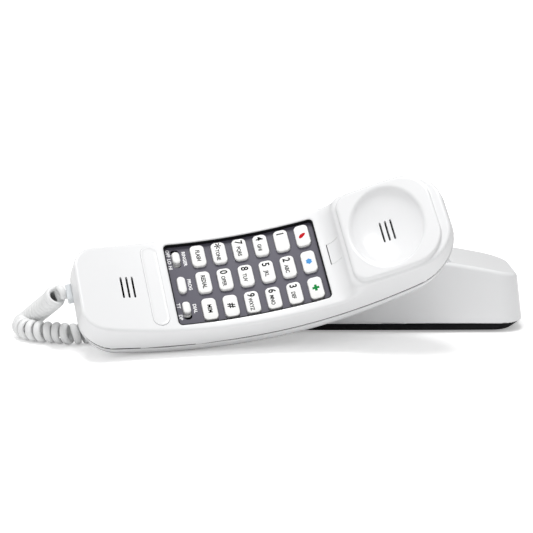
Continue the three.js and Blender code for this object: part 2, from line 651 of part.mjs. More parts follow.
piece(base, "base_housing", baseHousing(), WHITE);
piece(base, "base_plate", basePlate(), BLACK);
const ballast = box(BALLAST.x, 0, PLATE.top + GAP, BALLAST.top, BALLAST.along, BALLAST.across);
const { bottom: boardBottom, top: boardTop } = BASE_BOARD;
const baseBoard = box(BASE_BOARD.x, 0, boardBottom, boardTop, BASE_BOARD.along, BASE_BOARD.across);
piece(base, "ballast_weight", ballast, STEEL);
piece(base, "base_circuit_board", baseBoard, BOARD_GREEN);
piece(base, "base_cord_socket", jackShape(BASE_FOOT.tail + BASE_JACK.inset, 1, BASE_JACK), BLACK);
piece(base, "line_cord_socket", jackShape(BASE_FOOT.nose - BASE_JACK.inset, -1, BASE_JACK), BLACK);
const basePlugOut = BASE_FOOT.tail - PLUG.proud;
const basePlugIn = BASE_FOOT.tail + BASE_JACK.inset + BASE_JACK.depth - PLUG.short;
piece(base, "cord_plug_base", plugShape(basePlugOut, basePlugIn, BASE_JACK), CLEAR);

const hookTab = join(
  box(TAB.x - TAB.along / 2 + 0.3, 0, TAB.bottom, TAB.top, 0.9, TAB.across + 2),
  box(TAB.x, 0, TAB.bottom, TAB.top, TAB.along, TAB.across),
);
piece(base, "wall_hook_tab", hookTab, WHITE);
FEET.forEach((x, i) => {
  const pad = slab(x, 0, 0, PLATE.bottom - GAP, FOOT.along, FOOT.across, FOOT.round);
  piece(base, "foot_" + (i + 1), pad, RUBBER);
});
BASE_SCREWS.forEach(([x, y], i) => {
  const screw = join(
    upright(x, y, PLATE.bottom, PLATE.bottom + SCREW.headHeight - 0.1, SCREW.head, 16),
    upright(x, y, PLATE.bottom + 0.5, BASE_SCREW_TOP, SCREW.shank, 12),
  );
  const drive = box(x, y, 0, PLATE.bottom + DRIVE.depth, DRIVE.length, DRIVE.width);
  piece(base, "base_screw_" + (i + 1), cut(screw, drive), STEEL);
});

// -------------------------------------------------------------------------------------------------
// The two together, and the cord between them.

const { degToRad } = THREE.MathUtils;
const { roll, pitch, yaw } = HANDSET_PLACE;
handset.rotation.set(degToRad(roll), degToRad(pitch), degToRad(yaw));
handset.position.set(HANDSET_PLACE.x, HANDSET_PLACE.y, 0);
handset.updateMatrixWorld(true);
handset.position.z = -new THREE.Box3().setFromObject(handset, true).min.z;
handset.updateMatrixWorld(true);

const cordPath = new THREE.CatmullRomCurve3([
  handset.localToWorld(new THREE.Vector3(plugOut - 0.5, JACK.y, JACK.z)),
  handset.localToWorld(new THREE.Vector3(plugOut - 6, JACK.y, JACK.z)),
  ...CORD_POINTS.map((point) => new THREE.Vector3(...point)),
  new THREE.Vector3(basePlugOut - 1, 0, BASE_JACK.z),
]);
const cordSection = new THREE.Shape().absarc(0, 0, CORD_RADIUS, 0, 2 * Math.PI, false);
const cordSettings = { steps: 36, extrudePath: cordPath, curveSegments: 5 };
const cord = new THREE.Group();
piece(cord, "coil_cord", new THREE.ExtrudeGeometry(cordSection, cordSettings), KEY_WHITE);

const telephone = new THREE.Group();
telephone.add(handset, base, cord);
telephone.updateMatrixWorld(true);
const bounds = new THREE.Box3().setFromObject(telephone, true);
const centre = bounds.getCenter(new THREE.Vector3());
telephone.position.set(-centre.x, -centre.y, -bounds.min.z);
export default telephone;
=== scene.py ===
import json
import math

import bmesh
import bpy
import numpy as np
from mathutils import Matrix, Vector


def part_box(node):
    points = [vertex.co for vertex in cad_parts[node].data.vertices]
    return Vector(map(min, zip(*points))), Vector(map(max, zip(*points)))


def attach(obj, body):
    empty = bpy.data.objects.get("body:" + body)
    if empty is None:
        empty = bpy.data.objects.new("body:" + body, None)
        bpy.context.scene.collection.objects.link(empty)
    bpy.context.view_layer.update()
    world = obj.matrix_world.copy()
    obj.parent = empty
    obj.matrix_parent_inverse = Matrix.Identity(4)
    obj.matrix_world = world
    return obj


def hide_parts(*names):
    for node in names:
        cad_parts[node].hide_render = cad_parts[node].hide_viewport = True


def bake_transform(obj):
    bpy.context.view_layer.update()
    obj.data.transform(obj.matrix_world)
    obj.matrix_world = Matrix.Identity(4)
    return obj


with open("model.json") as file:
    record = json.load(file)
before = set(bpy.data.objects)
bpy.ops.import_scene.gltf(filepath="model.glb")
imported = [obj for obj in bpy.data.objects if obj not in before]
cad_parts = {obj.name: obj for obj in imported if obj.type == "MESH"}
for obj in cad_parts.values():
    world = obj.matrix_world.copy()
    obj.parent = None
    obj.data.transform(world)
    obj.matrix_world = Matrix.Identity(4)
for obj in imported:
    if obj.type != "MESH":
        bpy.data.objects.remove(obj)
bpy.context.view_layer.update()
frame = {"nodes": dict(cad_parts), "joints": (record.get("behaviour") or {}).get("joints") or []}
MM = 0.001
NEARLY_ROUND = 0.01  # what a corner radius falls short of half the width, so that no side vanishes

# ---- driving sizes


def outline(tail, nose, halves, rounds):
    """An outline seen along Z: its ends, its half widths at tail, middle and nose, its corner radii."""
    sizes = dict(tail=tail, nose=nose, tail_half=halves[0], half=halves[1], nose_half=halves[2])
    return dict(sizes, tail_round=rounds[0], nose_round=rounds[1])


KEY_RADIUS = 234.0  # the key tops lie on this arc, hollow towards the user
FACE_LIFT = 1.0
WALL = 2.4
SEAM_GAP = 0.7
SPLIT_LIFT = 1.3
SEAM = outline(-101.0, 107.5, (29.8, 32.0, 32.0), (17.0, 24.0))
DECK = outline(-96.5, 105.5, (24.6, 30.8, 30.8), (11.0, 22.0))
HEAD_FOOT = outline(30.0, 107.5, (32.0, 32.0, 32.0), (1.0, 24.0))
HEAD_TOP = outline(30.0, 104.5, (29.0, 29.6, 28.0), (1.0, 20.0))
PAD_TOP = outline(49.3, 99.0, (27.0, 28.0, 25.5), (7.0, 15.0))
HEAD_FRONT = dict(foot=44.5, crown=49.5, height=12.0, corner=9.0, margin=1.5)
HEAD_BLEND = (38.0, 54.0)  # between these the side walls turn from the deck's lean to the head's
# the dark strip inside the seam gap: painted shade
SEAM_SHADE_STRIP = dict(inset=0.55, thick=1.0, half=0.9)
SEAM_CURVE = dict(low=-13.0, tail_radius=262.0, nose_radius=165.0)
PAD_LEVEL = dict(x=50.0, z=17.4, slope=0.28, step=2.4)
BACK = dict(depth=13.5, taper=0.25, round=12.0)
EDGE_ROUND = dict(face=1.5, shoulder=1.8, pad=1.5, pad_foot=0.9, head_foot=5.0, lip=0.15)

RECESS = dict(low=-47.6, high=36.8, half=25.7, round=2.5)
BEZEL = dict(depth=1.75, thickness=1.5, lip=1.0)
KEY = dict(along=7.9, across=13.4, round=2.5)
KEY_PITCH = dict(along=11.8, across=17.1)
KEY_GAP = 0.28
SMALL_ROW = -41.8  # arc length from the keypad's middle to the row of switches
PROG = dict(along=4.7, across=10.3, round=2.3)
KNOB = dict(along=4.3, across=7.3, round=1.9)
KNOBS = {
    "ringer_knob": dict(y=17.6, low=-2.0, high=2.0),
    "dial_knob": dict(y=-14.4, low=-3.0, high=0.0),
}
FLANGE = dict(top=-3.55, bottom=-4.35, margin=0.8)
DISH = dict(x=72.4, z=24.1, radii=(20.4, 24.2, 7.4), edge=1.4)
EAR_SLOTS = dict(x=73.4, y=0.6, length=12.8, width=1.05, pitch=2.9, low=8, high=26)
MOUTH_SLOTS = dict(x=-70.7, y=0.0, length=13.3, width=1.05, pitch=3.0, low=4, high=22)
NAMEPLATE = dict(x=-56.2, along=9.4, across=50.0, proud=0.42, gap=0.15, depth=0.6)
LEVER = dict(low=40.9, high=49.6, half=6.3, crown=10.6, thick=2.3, gap=0.16, hinge_gap=0.5)
HINGE_X, HINGE_DEPTH = 41.5, 1.2  # the lever's hinge: how far along, and how far under the face
SCREW_POSTS = ((-58.0, 0.0, 6.6), (48.0, 21.0, 5.5), (48.0, -21.0, 5.5))  # x, y and roof
SCREW = dict(sink=9.5, head_hole=2.9, shank_hole=1.5, back_post=4.2, front_post=3.6, pilot=7.0)
JACK = dict(across=11.2, high=6.6, y=9.0, z=1.6, reach=8.0)
PLUG = dict(across=9.8, high=5.4, length=15.0, proud=3.2)

BASE_FOOT = outline(-100.0, 100.0, (31.0, 32.0, 31.0), (15.0, 15.0))
BASE_TOP = outline(-96.0, 96.5, (29.3, 30.2, 29.3), (14.0, 14.0))
BASE_HEIGHT, BASE_BOTTOM, BASE_EDGE = 41.5, 5.1, 2.2
CROWN = dict(low=-20.0, high=40.0, tail_drop=14.0, nose_drop=10.0, power=1.5)
EAR_WELL = dict(x=31.0, along=54.0, across=56.6, floor=21.0, round=7.0)
MOUTH_WELL = dict(x=-72.0, along=34.0, across=50.0, floor=27.0, round=7.0)
WELL_FLOOR_ROUND, WELL_RIM_ROUND = 4.0, 0.8
BASE_SCREWS = ((-82.0, 22.0), (-82.0, -22.0), (84.0, 22.0), (84.0, -22.0))
BASE_PILOT_TOP = 16.0
BASE_JACK_HEIGHT = 14.0
TAB = dict(x=3.0, low=29.3, high=34.7, along=7.4, across=12.0, gap=0.3)
PLATE_FOOT = outline(-93.0, 93.0, (29.0, 30.5, 29.0), (12.0, 12.0))
PLATE_TOP = outline(-98.5, 98.5, (29.5, 30.5, 29.5), (13.5, 13.5))
PLATE_LOW, PLATE_HIGH, PLATE_EDGE = 1.0, 4.8, 0.4
PLATE_SCREW_SEAT = 2.8
KEYHOLE = dict(places=(-41.0, 42.0), entry=9.0, neck=4.2, length=10.0)
FEET = (-84.0, -60.0, 62.0, 84.0)
FOOT = dict(along=12.0, across=34.0, round=4.0)

WIRE_THICK, WIRE_BROAD, COIL_RADIUS = 1.45, 2.1, 4.6  # half sizes of the flattened wire, and its coil
COIL_PITCH = dict(upper=4.0, lower=5.0, turn_from=0.26, turn_to=0.4)
CORD_POINTS = (
    (-167.2, -60, 24.9),
    (-176.4, -45, 15.8),
    (-184.2, -33.6, 8.2),
    (-187, -39.5, 6.4),
    (-183.3, -49.2, 6.3),
    (-175, -55.2, 6.3),
    (-166, -58.2, 6.3),
    (-154, -61, 6.3),
    (-142, -52, 6.4),
    (-132, -30, 7.5),
    (-123, -8, 11.5),
    (-112, 0, 13.9),
    (-104.2, 0, 14),
)
CORD_LEAD = dict(straight=0.3, opening=3.0, out=(0.5, 6.0))  # out: its first points past the plug

# ---- frames

joints = {joint["name"]: joint for joint in frame["joints"]}


def arc(x):
    return KEY_RADIUS - np.sqrt(KEY_RADIUS**2 - np.square(x))


def handset_matrix():
    """The handset's own frame in the row frame, from its joints' axes and the lever's hinge."""
    across = Vector(joints["hook_press"]["axis"]).normalized()
    out = -(Vector(joints["key_7_press"]["axis"]) + Vector(joints["key_4_press"]["axis"]))
    out.normalize()
    along = across.cross(out).normalized()
    hinge = Vector(joints["hook_press"]["pos_m"])
    height = float(arc(LEVER["low"])) + FACE_LIFT - HINGE_DEPTH
    origin = hinge - (along * HINGE_X + out * height) * MM
    turn = Matrix((along, across, out)).transposed()
    return Matrix.Translation(origin) @ turn.to_4x4() @ Matrix.Scale(MM, 4)


def base_matrix():
    """The base's own frame in the row frame, from the plate and the first foot."""
    plate_low, plate_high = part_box("base_plate")
    foot_low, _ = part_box("foot_1")
    middle = (plate_low + plate_high) / 2
    return Matrix.Translation((middle.x, middle.y, foot_low.z)) @ Matrix.Scale(MM, 4)


HANDSET = handset_matrix()
BASE = base_matrix()


def shifted(matrix, x, y, z):
    return matrix @ Matrix.Translation((x, y, z))


def on_arc(s, y=0.0):
    """The frame at arc length s along the keypad, square to the arc."""
    turn = Matrix.Translation((0, y, KEY_RADIUS)) @ Matrix.Rotation(-s / KEY_RADIUS, 4, "Y")
    return HANDSET @ turn @ Matrix.Translation((0, 0, -KEY_RADIUS))


# ---- distance fields


def round_and(a, b, r):
    """Where both a and b are negative, with the edge between them rounded to radius r."""
    return np.minimum(np.maximum(a, b), -r) + np.hypot(np.maximum(a + r, 0), np.maximum(b + r, 0))


def round_or(a, b, r):
    """Where a or b is negative, with the inner corner between them filled to radius r."""
    return np.maximum(np.minimum(a, b), r) - np.hypot(np.maximum(r - a, 0), np.maximum(r - b, 0))


def rectangle(dx, dy, reach_x, reach_y, r):
    """Distance to a rounded rectangle, from its centre."""
    qx, qy = np.abs(dx) - reach_x + r, np.abs(dy) - reach_y + r
    return np.minimum(np.maximum(qx, qy), 0) + np.hypot(np.maximum(qx, 0), np.maximum(qy, 0)) - r


def plan_distance(x, y, o):
    """Distance to an outline seen along Z. The outline's sizes may vary from point to point."""
    middle = (o["tail"] + o["nose"]) / 2
    reach = (o["nose"] - o["tail"]) / 2
    share = np.clip((x - middle) / reach, -1.2, 1.2)
    end_half = np.where(share < 0, o["tail_half"], o["nose_half"])
    half = o["half"] + (end_half - o["half"]) * share**2
    r = np.where(share < 0, o["tail_round"], o["nose_round"])
    return rectangle(x - middle, y, reach, half, r)


def mixed(a, b, t):
    return {name: a[name] + (b[name] - a[name]) * t for name in a}


def tilt(slope):
    """Turns a height difference over a sloping surface into a distance."""
    return 1 / np.sqrt(1 + slope**2)


def upright(x, y, px, py, radius):
    return np.hypot(x - px, y - py) - radius


def seam(x):
    radius = np.where(x < 0, SEAM_CURVE["tail_radius"], SEAM_CURVE["nose_radius"])
    return SEAM_CURVE["low"] + np.square(x) / (2 * radius)


def split(x):
    """Where the two shells meet: a little above the handset's widest line."""
    return seam(x) + SPLIT_LIFT


def face(x):
    return arc(np.clip(x, -120, 120)) + FACE_LIFT


def pad(x):
    return PAD_LEVEL["z"] + (x - PAD_LEVEL["x"]) * PAD_LEVEL["slope"]


def back(x):
    return seam(x) - BACK["depth"] * (1 - BACK["taper"] * np.abs(x / SEAM["nose"]) ** 3)


def smoothstep(t):
    t = np.clip(t, 0, 1)
    return t * t * (3 - 2 * t)


def shoulder(x):
    return pad(x) - PAD_LEVEL["step"]


def side_walls(x, y, z):
    """The side walls lean in from the seam: to the face along the keypad, to the shoulder at the head."""
    low, lift = seam(x), z - seam(x)
    deck = mixed(SEAM, DECK, np.clip(lift / np.maximum(face(x) - low, 1), 0, 1.5))
    head = mixed(HEAD_FOOT, HEAD_TOP, np.clip(lift / np.maximum(shoulder(x) - low, 1), 0, 1.3))
    along_deck, along_head = plan_distance(x, y, deck), plan_distance(x, y, head)
    start, end = HEAD_BLEND
    return along_deck + (along_head - along_deck) * smoothstep((x - start) / (end - start))


def raised_head(x, y, z, side):
    """The head round the earpiece above the face: its front wall, its shoulder and the pad on it."""
    rise = np.clip((z - face(x)) / HEAD_FRONT["height"], 0, 1.5)
    front = HEAD_FRONT["foot"] + (HEAD_FRONT["crown"] - HEAD_FRONT["foot"]) * rise - x
    walls = round_and(side - HEAD_FRONT["margin"], front, HEAD_FRONT["corner"])
    level = tilt(PAD_LEVEL["slope"])
    head = round_and(walls, (z - shoulder(x)) * level, EDGE_ROUND["shoulder"])
    raised = round_and(plan_distance(x, y, PAD_TOP), (z - pad(x)) * level, EDGE_ROUND["pad"])
    return round_or(head, np.maximum(raised, pad(x) - 8 - z), EDGE_ROUND["pad_foot"])


def handset_body(x, y, z):
    """The whole handset, both shells as one solid, before anything is cut into it."""
    side = side_walls(x, y, z)
    deck = (z - face(x)) * tilt(np.clip(x, -110, 110) / KEY_RADIUS)
    upper = round_or(deck, raised_head(x, y, z, side), EDGE_ROUND["head_foot"])
    lower = (back(x) - z) * tilt(x / SEAM_CURVE["tail_radius"])
    return np.maximum(round_and(side, upper, EDGE_ROUND["face"]), round_and(side, lower, BACK["round"]))


def dish(x, y, z, margin=0.0):
    """The bowl round the earpiece: the lower half of an ellipsoid that lies in the pad's slope."""
    turn = math.atan(PAD_LEVEL["slope"])
    dx, dz = x - DISH["x"], z - DISH["z"]
    along = dx * math.cos(turn) + dz * math.sin(turn)
    out = np.minimum(dz * math.cos(turn) - dx * math.sin(turn), 0)
    rx, ry, rz = (radius + margin for radius in DISH["radii"])
    near = np.sqrt((along / rx) ** 2 + (y / ry) ** 2 + (out / rz) ** 2) + 1e-9
    steep = np.sqrt((along / rx**2) ** 2 + (y / ry**2) ** 2 + (out / rz**2) ** 2) + 1e-9
    return near * (near - 1) / steep


def front_shell(x, y, z):
    body = handset_body(x, y, z)
    shell = round_and(body, -dish(x, y, z), DISH["edge"])
    shell = round_and(shell, split(x) - z, EDGE_ROUND["lip"])
    shell = np.maximum(shell, -np.maximum(body + WALL, -dish(x, y, z, WALL)))
    for px, py, roof in SCREW_POSTS:
        post = np.maximum(upright(x, y, px, py, SCREW["front_post"]), split(x) + 0.4 - z)
        shell = np.minimum(shell, np.maximum(post, np.maximum(z - roof, body)))
    middle, reach = (RECESS["low"] + RECESS["high"]) / 2, (RECESS["high"] - RECESS["low"]) / 2
    recess = rectangle(x - middle, y, reach, RECESS["half"], RECESS["round"])
    return round_and(shell, -np.maximum(recess, -12 - z), 0.6)


def back_shell(x, y, z):
    body = handset_body(x, y, z)
    lip = z - split(x) + SEAM_GAP
    shell = np.maximum(round_and(body, lip, EDGE_ROUND["lip"]), -(body + WALL))
    for px, py, _ in SCREW_POSTS:
        post = np.maximum(upright(x, y, px, py, SCREW["back_post"]), np.maximum(lip, body))
        shell = np.minimum(shell, post)
    return shell


def seam_shade_strip(x, y, z):
    """A dark strip that lies inside the seam and bridges its gap: painted shade, so that the seam reads as a
    dark line.
    """
    body = handset_body(x, y, z)
    band = np.abs(z - split(x) + SEAM_GAP / 2) - SEAM_SHADE_STRIP["half"]
    return np.maximum(np.maximum(body + SEAM_SHADE_STRIP["inset"], -(body + SEAM_SHADE_STRIP["inset"] + SEAM_SHADE_STRIP["thick"])), band)


def lever_blade(x, y, z):
    """The hook lever: a piece of the handset's own surface, loose in its hole."""
    along = np.abs(x - (LEVER["low"] + LEVER["high"]) / 2) - (LEVER["high"] - LEVER["low"]) / 2
    edge = np.maximum(along, np.maximum(np.abs(y) - LEVER["half"], z - LEVER["crown"]))
    body = handset_body(x, y, z)
    return np.maximum(round_and(body, edge, 0.12), -(body + LEVER["thick"]))


def base_top(x):
    tail = np.maximum(CROWN["low"] - x, 0) / (CROWN["low"] - BASE_FOOT["tail"])
    nose = np.maximum(x - CROWN["high"], 0) / (BASE_FOOT["nose"] - CROWN["high"])
    power = CROWN["power"]
    return BASE_HEIGHT - CROWN["tail_drop"] * tail**power - CROWN["nose_drop"] * nose**power


def base_body(x, y, z):
    share = np.clip((z - BASE_BOTTOM) / (base_top(x) - BASE_BOTTOM), -0.1, 1.2)
    side = plan_distance(x, y, mixed(BASE_FOOT, BASE_TOP, share))
    return round_and(side, z - base_top(x), BASE_EDGE)


def well(x, y, z, size, margin=0.0):
    side = rectangle(x - size["x"], y, size["along"] / 2, size["across"] / 2, size["round"])
    return round_and(side, size["floor"] - z, WELL_FLOOR_ROUND) - margin


def base_shell(x, y, z):
    body = base_body(x, y, z)
    wells = np.minimum(well(x, y, z, EAR_WELL), well(x, y, z, MOUTH_WELL))
    thick = np.minimum(well(x, y, z, EAR_WELL, WALL), well(x, y, z, MOUTH_WELL, WALL))
    shell = round_and(body, -wells, WELL_RIM_ROUND)
    shell = np.maximum(shell, -np.maximum(body + WALL, -thick))
    for px, py in BASE_SCREWS:
        post = np.maximum(upright(x, y, px, py, SCREW["front_post"]), np.maximum(body, -wells))
        shell = np.minimum(shell, post)
    return round_and(shell, BASE_BOTTOM - z, EDGE_ROUND["lip"])


# ---- field to mesh

CORNERS = np.array([(i, j, k) for i in (0, 1) for j in (0, 1) for k in (0, 1)])
CELL_EDGES = [(a, b) for a in range(8) for b in range(a + 1, 8) if np.abs(CORNERS[a] - CORNERS[b]).sum() == 1]


def gradient(field, points, reach):
    pairs = [field(*(points + reach * e).T) - field(*(points - reach * e).T) for e in np.eye(3)]
    return np.stack(pairs, axis=1) / (2 * reach)


def unit(vectors):
    return vectors / np.maximum(np.linalg.norm(vectors, axis=1, keepdims=True), 1e-6)


def settle(field, points, step, rounds):
    """Moves points onto the field's zero surface, by no more than half a step each time."""
    for _ in range(rounds):
        slope = gradient(field, points, step * 0.06)
        size = np.maximum((slope**2).sum(1), 0.1)
        move = -(field(*points.T) / size)[:, None] * slope
        far = np.maximum(np.linalg.norm(move, axis=1) / (0.5 * step), 1)
        points = points + move / far[:, None]
    return points


def evened(field, points, quads, step, rounds):
    """Slides points along the surface towards the middle of their neighbours, so that quads are even."""
    edges = np.concatenate([quads[:, [i, (i + 1) % 4]] for i in range(4)])
    for _ in range(rounds):
        total = np.zeros_like(points)
        count = np.zeros(len(points))
        for a, b in ((0, 1), (1, 0)):
            np.add.at(total, edges[:, a], points[edges[:, b]])
            np.add.at(count, edges[:, a], 1)
        pull = total / np.maximum(count, 1)[:, None] - points
        slope = unit(gradient(field, points, step * 0.25))
        pull -= (pull * slope).sum(1)[:, None] * slope
        points = settle(field, points + 0.5 * pull, step, 2)
    return points


def surface(field, low, high, step, lift=None):
    """Vertices and quads of the field's zero surface, one vertex to a cell. lift(x) bends the grid
    along Z, so that an edge that follows that curve meets the grid squarely."""
    axes = [np.arange(a - step, b + 2 * step, step) for a, b in zip(low, high)]
    x, y, z = np.meshgrid(*axes, indexing="ij")
    values = field(x, y, z + (lift(x) if lift else 0))
    inside = values < 0
    shape = tuple(n - 1 for n in inside.shape)
    count = np.zeros(shape, np.int8)
    for i, j, k in CORNERS:
        count += inside[i : i + shape[0], j : j + shape[1], k : k + shape[2]]
    cells = np.argwhere((count > 0) & (count < 8))
    total = np.zeros((len(cells), 3))
    hits = np.zeros(len(cells))
    for a, b in CELL_EDGES:
        va, vb = (values[tuple((cells + CORNERS[c]).T)] for c in (a, b))
        cross = (va < 0) != (vb < 0)
        t = np.where(cross, va / np.where(cross, va - vb, 1), 0)
        total += np.where(cross[:, None], CORNERS[a] + t[:, None] * (CORNERS[b] - CORNERS[a]), 0)
        hits += cross
    points = (cells + total / hits[:, None]) * step + np.array([axis[0] for axis in axes])
    if lift:
        points[:, 2] += lift(points[:, 0])
    number = np.full(shape, -1, np.int32)
    number[tuple(cells.T)] = np.arange(len(cells))
    quads = []
    for axis in range(3):
        u, v = (axis + 1) % 3, (axis + 2) % 3
        where = np.argwhere(np.diff(inside, axis=axis))
        within = (where[:, u] > 0) & (where[:, v] > 0) & (where[:, u] < shape[u]) & (where[:, v] < shape[v])
        where = where[within]
        du, dv = np.eye(3, dtype=int)[u], np.eye(3, dtype=int)[v]
        ring = [number[tuple((where - offset).T)] for offset in (0 * du, du, du + dv, dv)]
        faces = np.stack(ring, axis=1)
        out = inside[tuple(where.T)]
        quads.append(np.where(out[:, None], faces, faces[:, ::-1]))
    quads = np.concatenate(quads)
    points = settle(field, points, step, 3)
    return evened(field, points, quads, step, 3), quads


def placed(name, data):
    """An object made from a mesh, light or camera, and put in the scene."""
    made = bpy.data.objects.new(name, data)
    bpy.context.scene.collection.objects.link(made)
    return made


def new_object(name, points, faces, matrix, smooth=True):
    """A mesh object whose points are given in the frame of matrix, in millimetres."""
    mesh = bpy.data.meshes.new(name)
    mesh.from_pydata(np.asarray(points, float).tolist(), [], [[int(i) for i in f] for f in faces])
    mesh.transform(matrix)
    mesh.update()
    mesh.polygons.foreach_set("use_smooth", [smooth] * len(mesh.polygons))
    return placed(name, mesh)


def field_piece(name, field, low, high, step, matrix, cutters=(), lift=None):
    """A piece meshed from its field, with its slots and holes cut and its shading taken from the field."""
    piece = new_object(name, *surface(field, low, high, step, lift), matrix)
    if cutters:
        cut_with(piece, cutters)
    shade_by_field(piece, field, matrix, step)
    return piece


def finish_piece(piece, body, slot_name, *nodes):
    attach(piece, body)
    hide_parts(*nodes)
    return piece


def shade_by_angle(piece, degrees=35):
    """Smooth shading that keeps edges sharper than the angle."""
    work = bmesh.new()
    work.from_mesh(piece.data)
    limit = math.radians(degrees)
    for edge in work.edges:
        if len(edge.link_faces) == 2 and edge.calc_face_angle() > limit:
            edge.smooth = False
    work.to_mesh(piece.data)
    work.free()


def shade_by_field(piece, field, matrix, step):
    """Corner normals taken from the field's slope, except on faces that lie off its surface."""
    mesh = piece.data
    local = np.array(matrix.inverted())

    def read(items, name, kind, width):
        values = np.zeros(len(items) * width, kind)
        items.foreach_get(name, values)
        return values.reshape(-1, width) if width > 1 else values

    points = read(mesh.vertices, "co", np.float32, 3) @ local[:3, :3].T + local[:3, 3]
    centres = read(mesh.polygons, "center", np.float32, 3) @ local[:3, :3].T + local[:3, 3]
    slope = unit(gradient(field, points, step * 0.2) @ np.array(matrix.to_3x3().normalized()).T)
    sizes = read(mesh.polygons, "loop_total", np.int32, 1)
    flat = np.repeat(read(mesh.polygons, "normal", np.float32, 3), sizes, axis=0)
    on_surface = np.repeat(np.abs(field(*centres.T)) < 0.3 * step, sizes)
    corner = slope[read(mesh.loops, "vertex_index", np.int32, 1)]
    mesh.normals_split_custom_set(np.where(on_surface[:, None], corner, flat).tolist())


def cut_with(piece, cutters):
    """Cuts closed meshes out of a piece for good, and removes them."""
    cutter = joined(cutters)
    modifier = piece.modifiers.new("cut", "BOOLEAN")
    modifier.operation, modifier.solver, modifier.object = "DIFFERENCE", "EXACT", cutter
    bpy.context.view_layer.objects.active = piece
    bpy.ops.object.modifier_apply(modifier="cut")
    bpy.data.objects.remove(cutter)


def joined(made):
    """Joins meshes into the first of them, keeping each one's material."""
    bpy.ops.object.select_all(action="DESELECT")
    for piece in made:
        piece.select_set(True)
    bpy.context.view_layer.objects.active = made[0]
    if len(made) > 1:
        bpy.ops.object.join()
    return made[0]


def tidied(piece):
    """Merges coincident vertices and turns every face outwards."""
    work = bmesh.new()
    work.from_mesh(piece.data)
    bmesh.ops.remove_doubles(work, verts=work.verts, dist=1e-3 * MM)
    bmesh.ops.recalc_face_normals(work, faces=work.faces)
    work.to_mesh(piece.data)
    work.free()
    return piece


# ---- stacked shapes


def rounded_outline(sx, sy, r, per_corner=8):
    """Points round a rounded rectangle, anticlockwise, centred on the origin."""
    points = []
    for quarter, (cx, cy) in enumerate([(1, 1), (-1, 1), (-1, -1), (1, -1)]):
        for i in range(per_corner + 1):
            angle = (quarter + i / per_corner) * math.pi / 2
            points.append((cx * (sx / 2 - r) + r * math.cos(angle), cy * (sy / 2 - r) + r * math.sin(angle)))
    return points


def plan_outline(o, per_corner=8, per_side=24):
    """Points round an outline seen along Z, anticlockwise."""
    middle = (o["tail"] + o["nose"]) / 2
    angles = [i / per_corner * math.pi / 2 for i in range(per_corner + 1)]
    corner = [(1 - math.cos(a), 1 - math.sin(a)) for a in angles]
    start, end = o["tail"] + o["tail_round"], o["nose"] - o["nose_round"]
    stations = [(o["tail"] + o["tail_round"] * along, drop) for along, drop in corner]
    stations += [(start + (end - start) * i / per_side, 0) for i in range(1, per_side)]
    stations += [(o["nose"] - o["nose_round"] * along, drop) for along, drop in reversed(corner)]
    side = []
    for x, drop in stations:
        which = "tail" if x < middle else "nose"
        share = (x - middle) / (o[which] - middle)
        half = o["half"] + (o[which + "_half"] - o["half"]) * share**2
        side.append((x, half - o[which + "_round"] * drop))
    return [(x, -half) for x, half in side] + [(x, half) for x, half in reversed(side)]


def stack(rings, close=True):
    """Quads between rings of equal length, with fans over the first and last ring."""
    count = len(rings[0])
    points = [p for ring in rings for p in ring]
    faces = []
    for r in range(len(rings) - 1):
        for i in range(count):
            a, b = r * count + i, r * count + (i + 1) % count
            faces.append((a, b, b + count, a + count))
    if close:
        for first in (0, (len(rings) - 1) * count):
            ring = points[first : first + count]
            points.append(tuple(sum(p[k] for p in ring) / count for k in range(3)))
            hub = len(points) - 1
            for i in range(count):
                a, b = first + i, first + (i + 1) % count
                faces.append((a, b, hub) if first else (b, a, hub))
    return points, faces


def pillow(sx, sy, r, profile, per_corner=8):
    """A rounded rectangle stacked up a profile of (inset, height) pairs."""
    rings = []
    for inset, height in profile:
        plan = rounded_outline(sx - 2 * inset, sy - 2 * inset, max(r - inset, 0.15), per_corner)
        rings.append([(px, py, height) for px, py in plan])
    return stack(rings)


def rounded_edge(top, radius, steps=5):
    """Profile pairs that turn from a side wall into a flat top over a quarter circle."""
    angles = [i / steps * math.pi / 2 for i in range(steps + 1)]
    return [(radius * (1 - math.cos(a)), top - radius * (1 - math.sin(a))) for a in angles]


def prism(sx, sy, r, low, high, matrix, per_corner=4):
    """A plain rounded-rectangle prism, for cutting."""
    return new_object("cutter", *pillow(sx, sy, r, [(0, low), (0, high)], per_corner), matrix)


def stepped_pin(levels, matrix, sides=32):
    """A round pin whose radius changes with height, for cutting: (radius, height) pairs."""
    turns = [2 * math.pi * i / sides for i in range(sides)]
    rings = [[(r * math.cos(a), r * math.sin(a), height) for a in turns] for r, height in levels]
    return new_object("cutter", *stack(rings), matrix)


# ---- materials

MIX_A, MIX_B, MIX_RESULT = 6, 7, 2  # the colour sockets of a Mix node


class Nodes:
    """A short way to write a node tree."""

    def __init__(self, name):
        self.material = bpy.data.materials.new(name)
        self.material.use_nodes = True
        self.tree = self.material.node_tree
        self.shader = self.tree.nodes["Principled BSDF"]

    def add(self, kind, inputs=None, **settings):
        node = self.tree.nodes.new(kind)
        for name, value in settings.items():
            setattr(node, name, value)
        for name, value in (inputs or {}).items():
            self.put(node.inputs[name], value)
        return node

    def put(self, socket, value):
        if isinstance(value, bpy.types.NodeSocket):
            self.tree.links.new(value, socket)
        else:
            socket.default_value = value

    def shade(self, **inputs):
        for name, value in inputs.items():
            self.put(self.shader.inputs[name.replace("_", " ").title().replace("Ior", "IOR")], value)


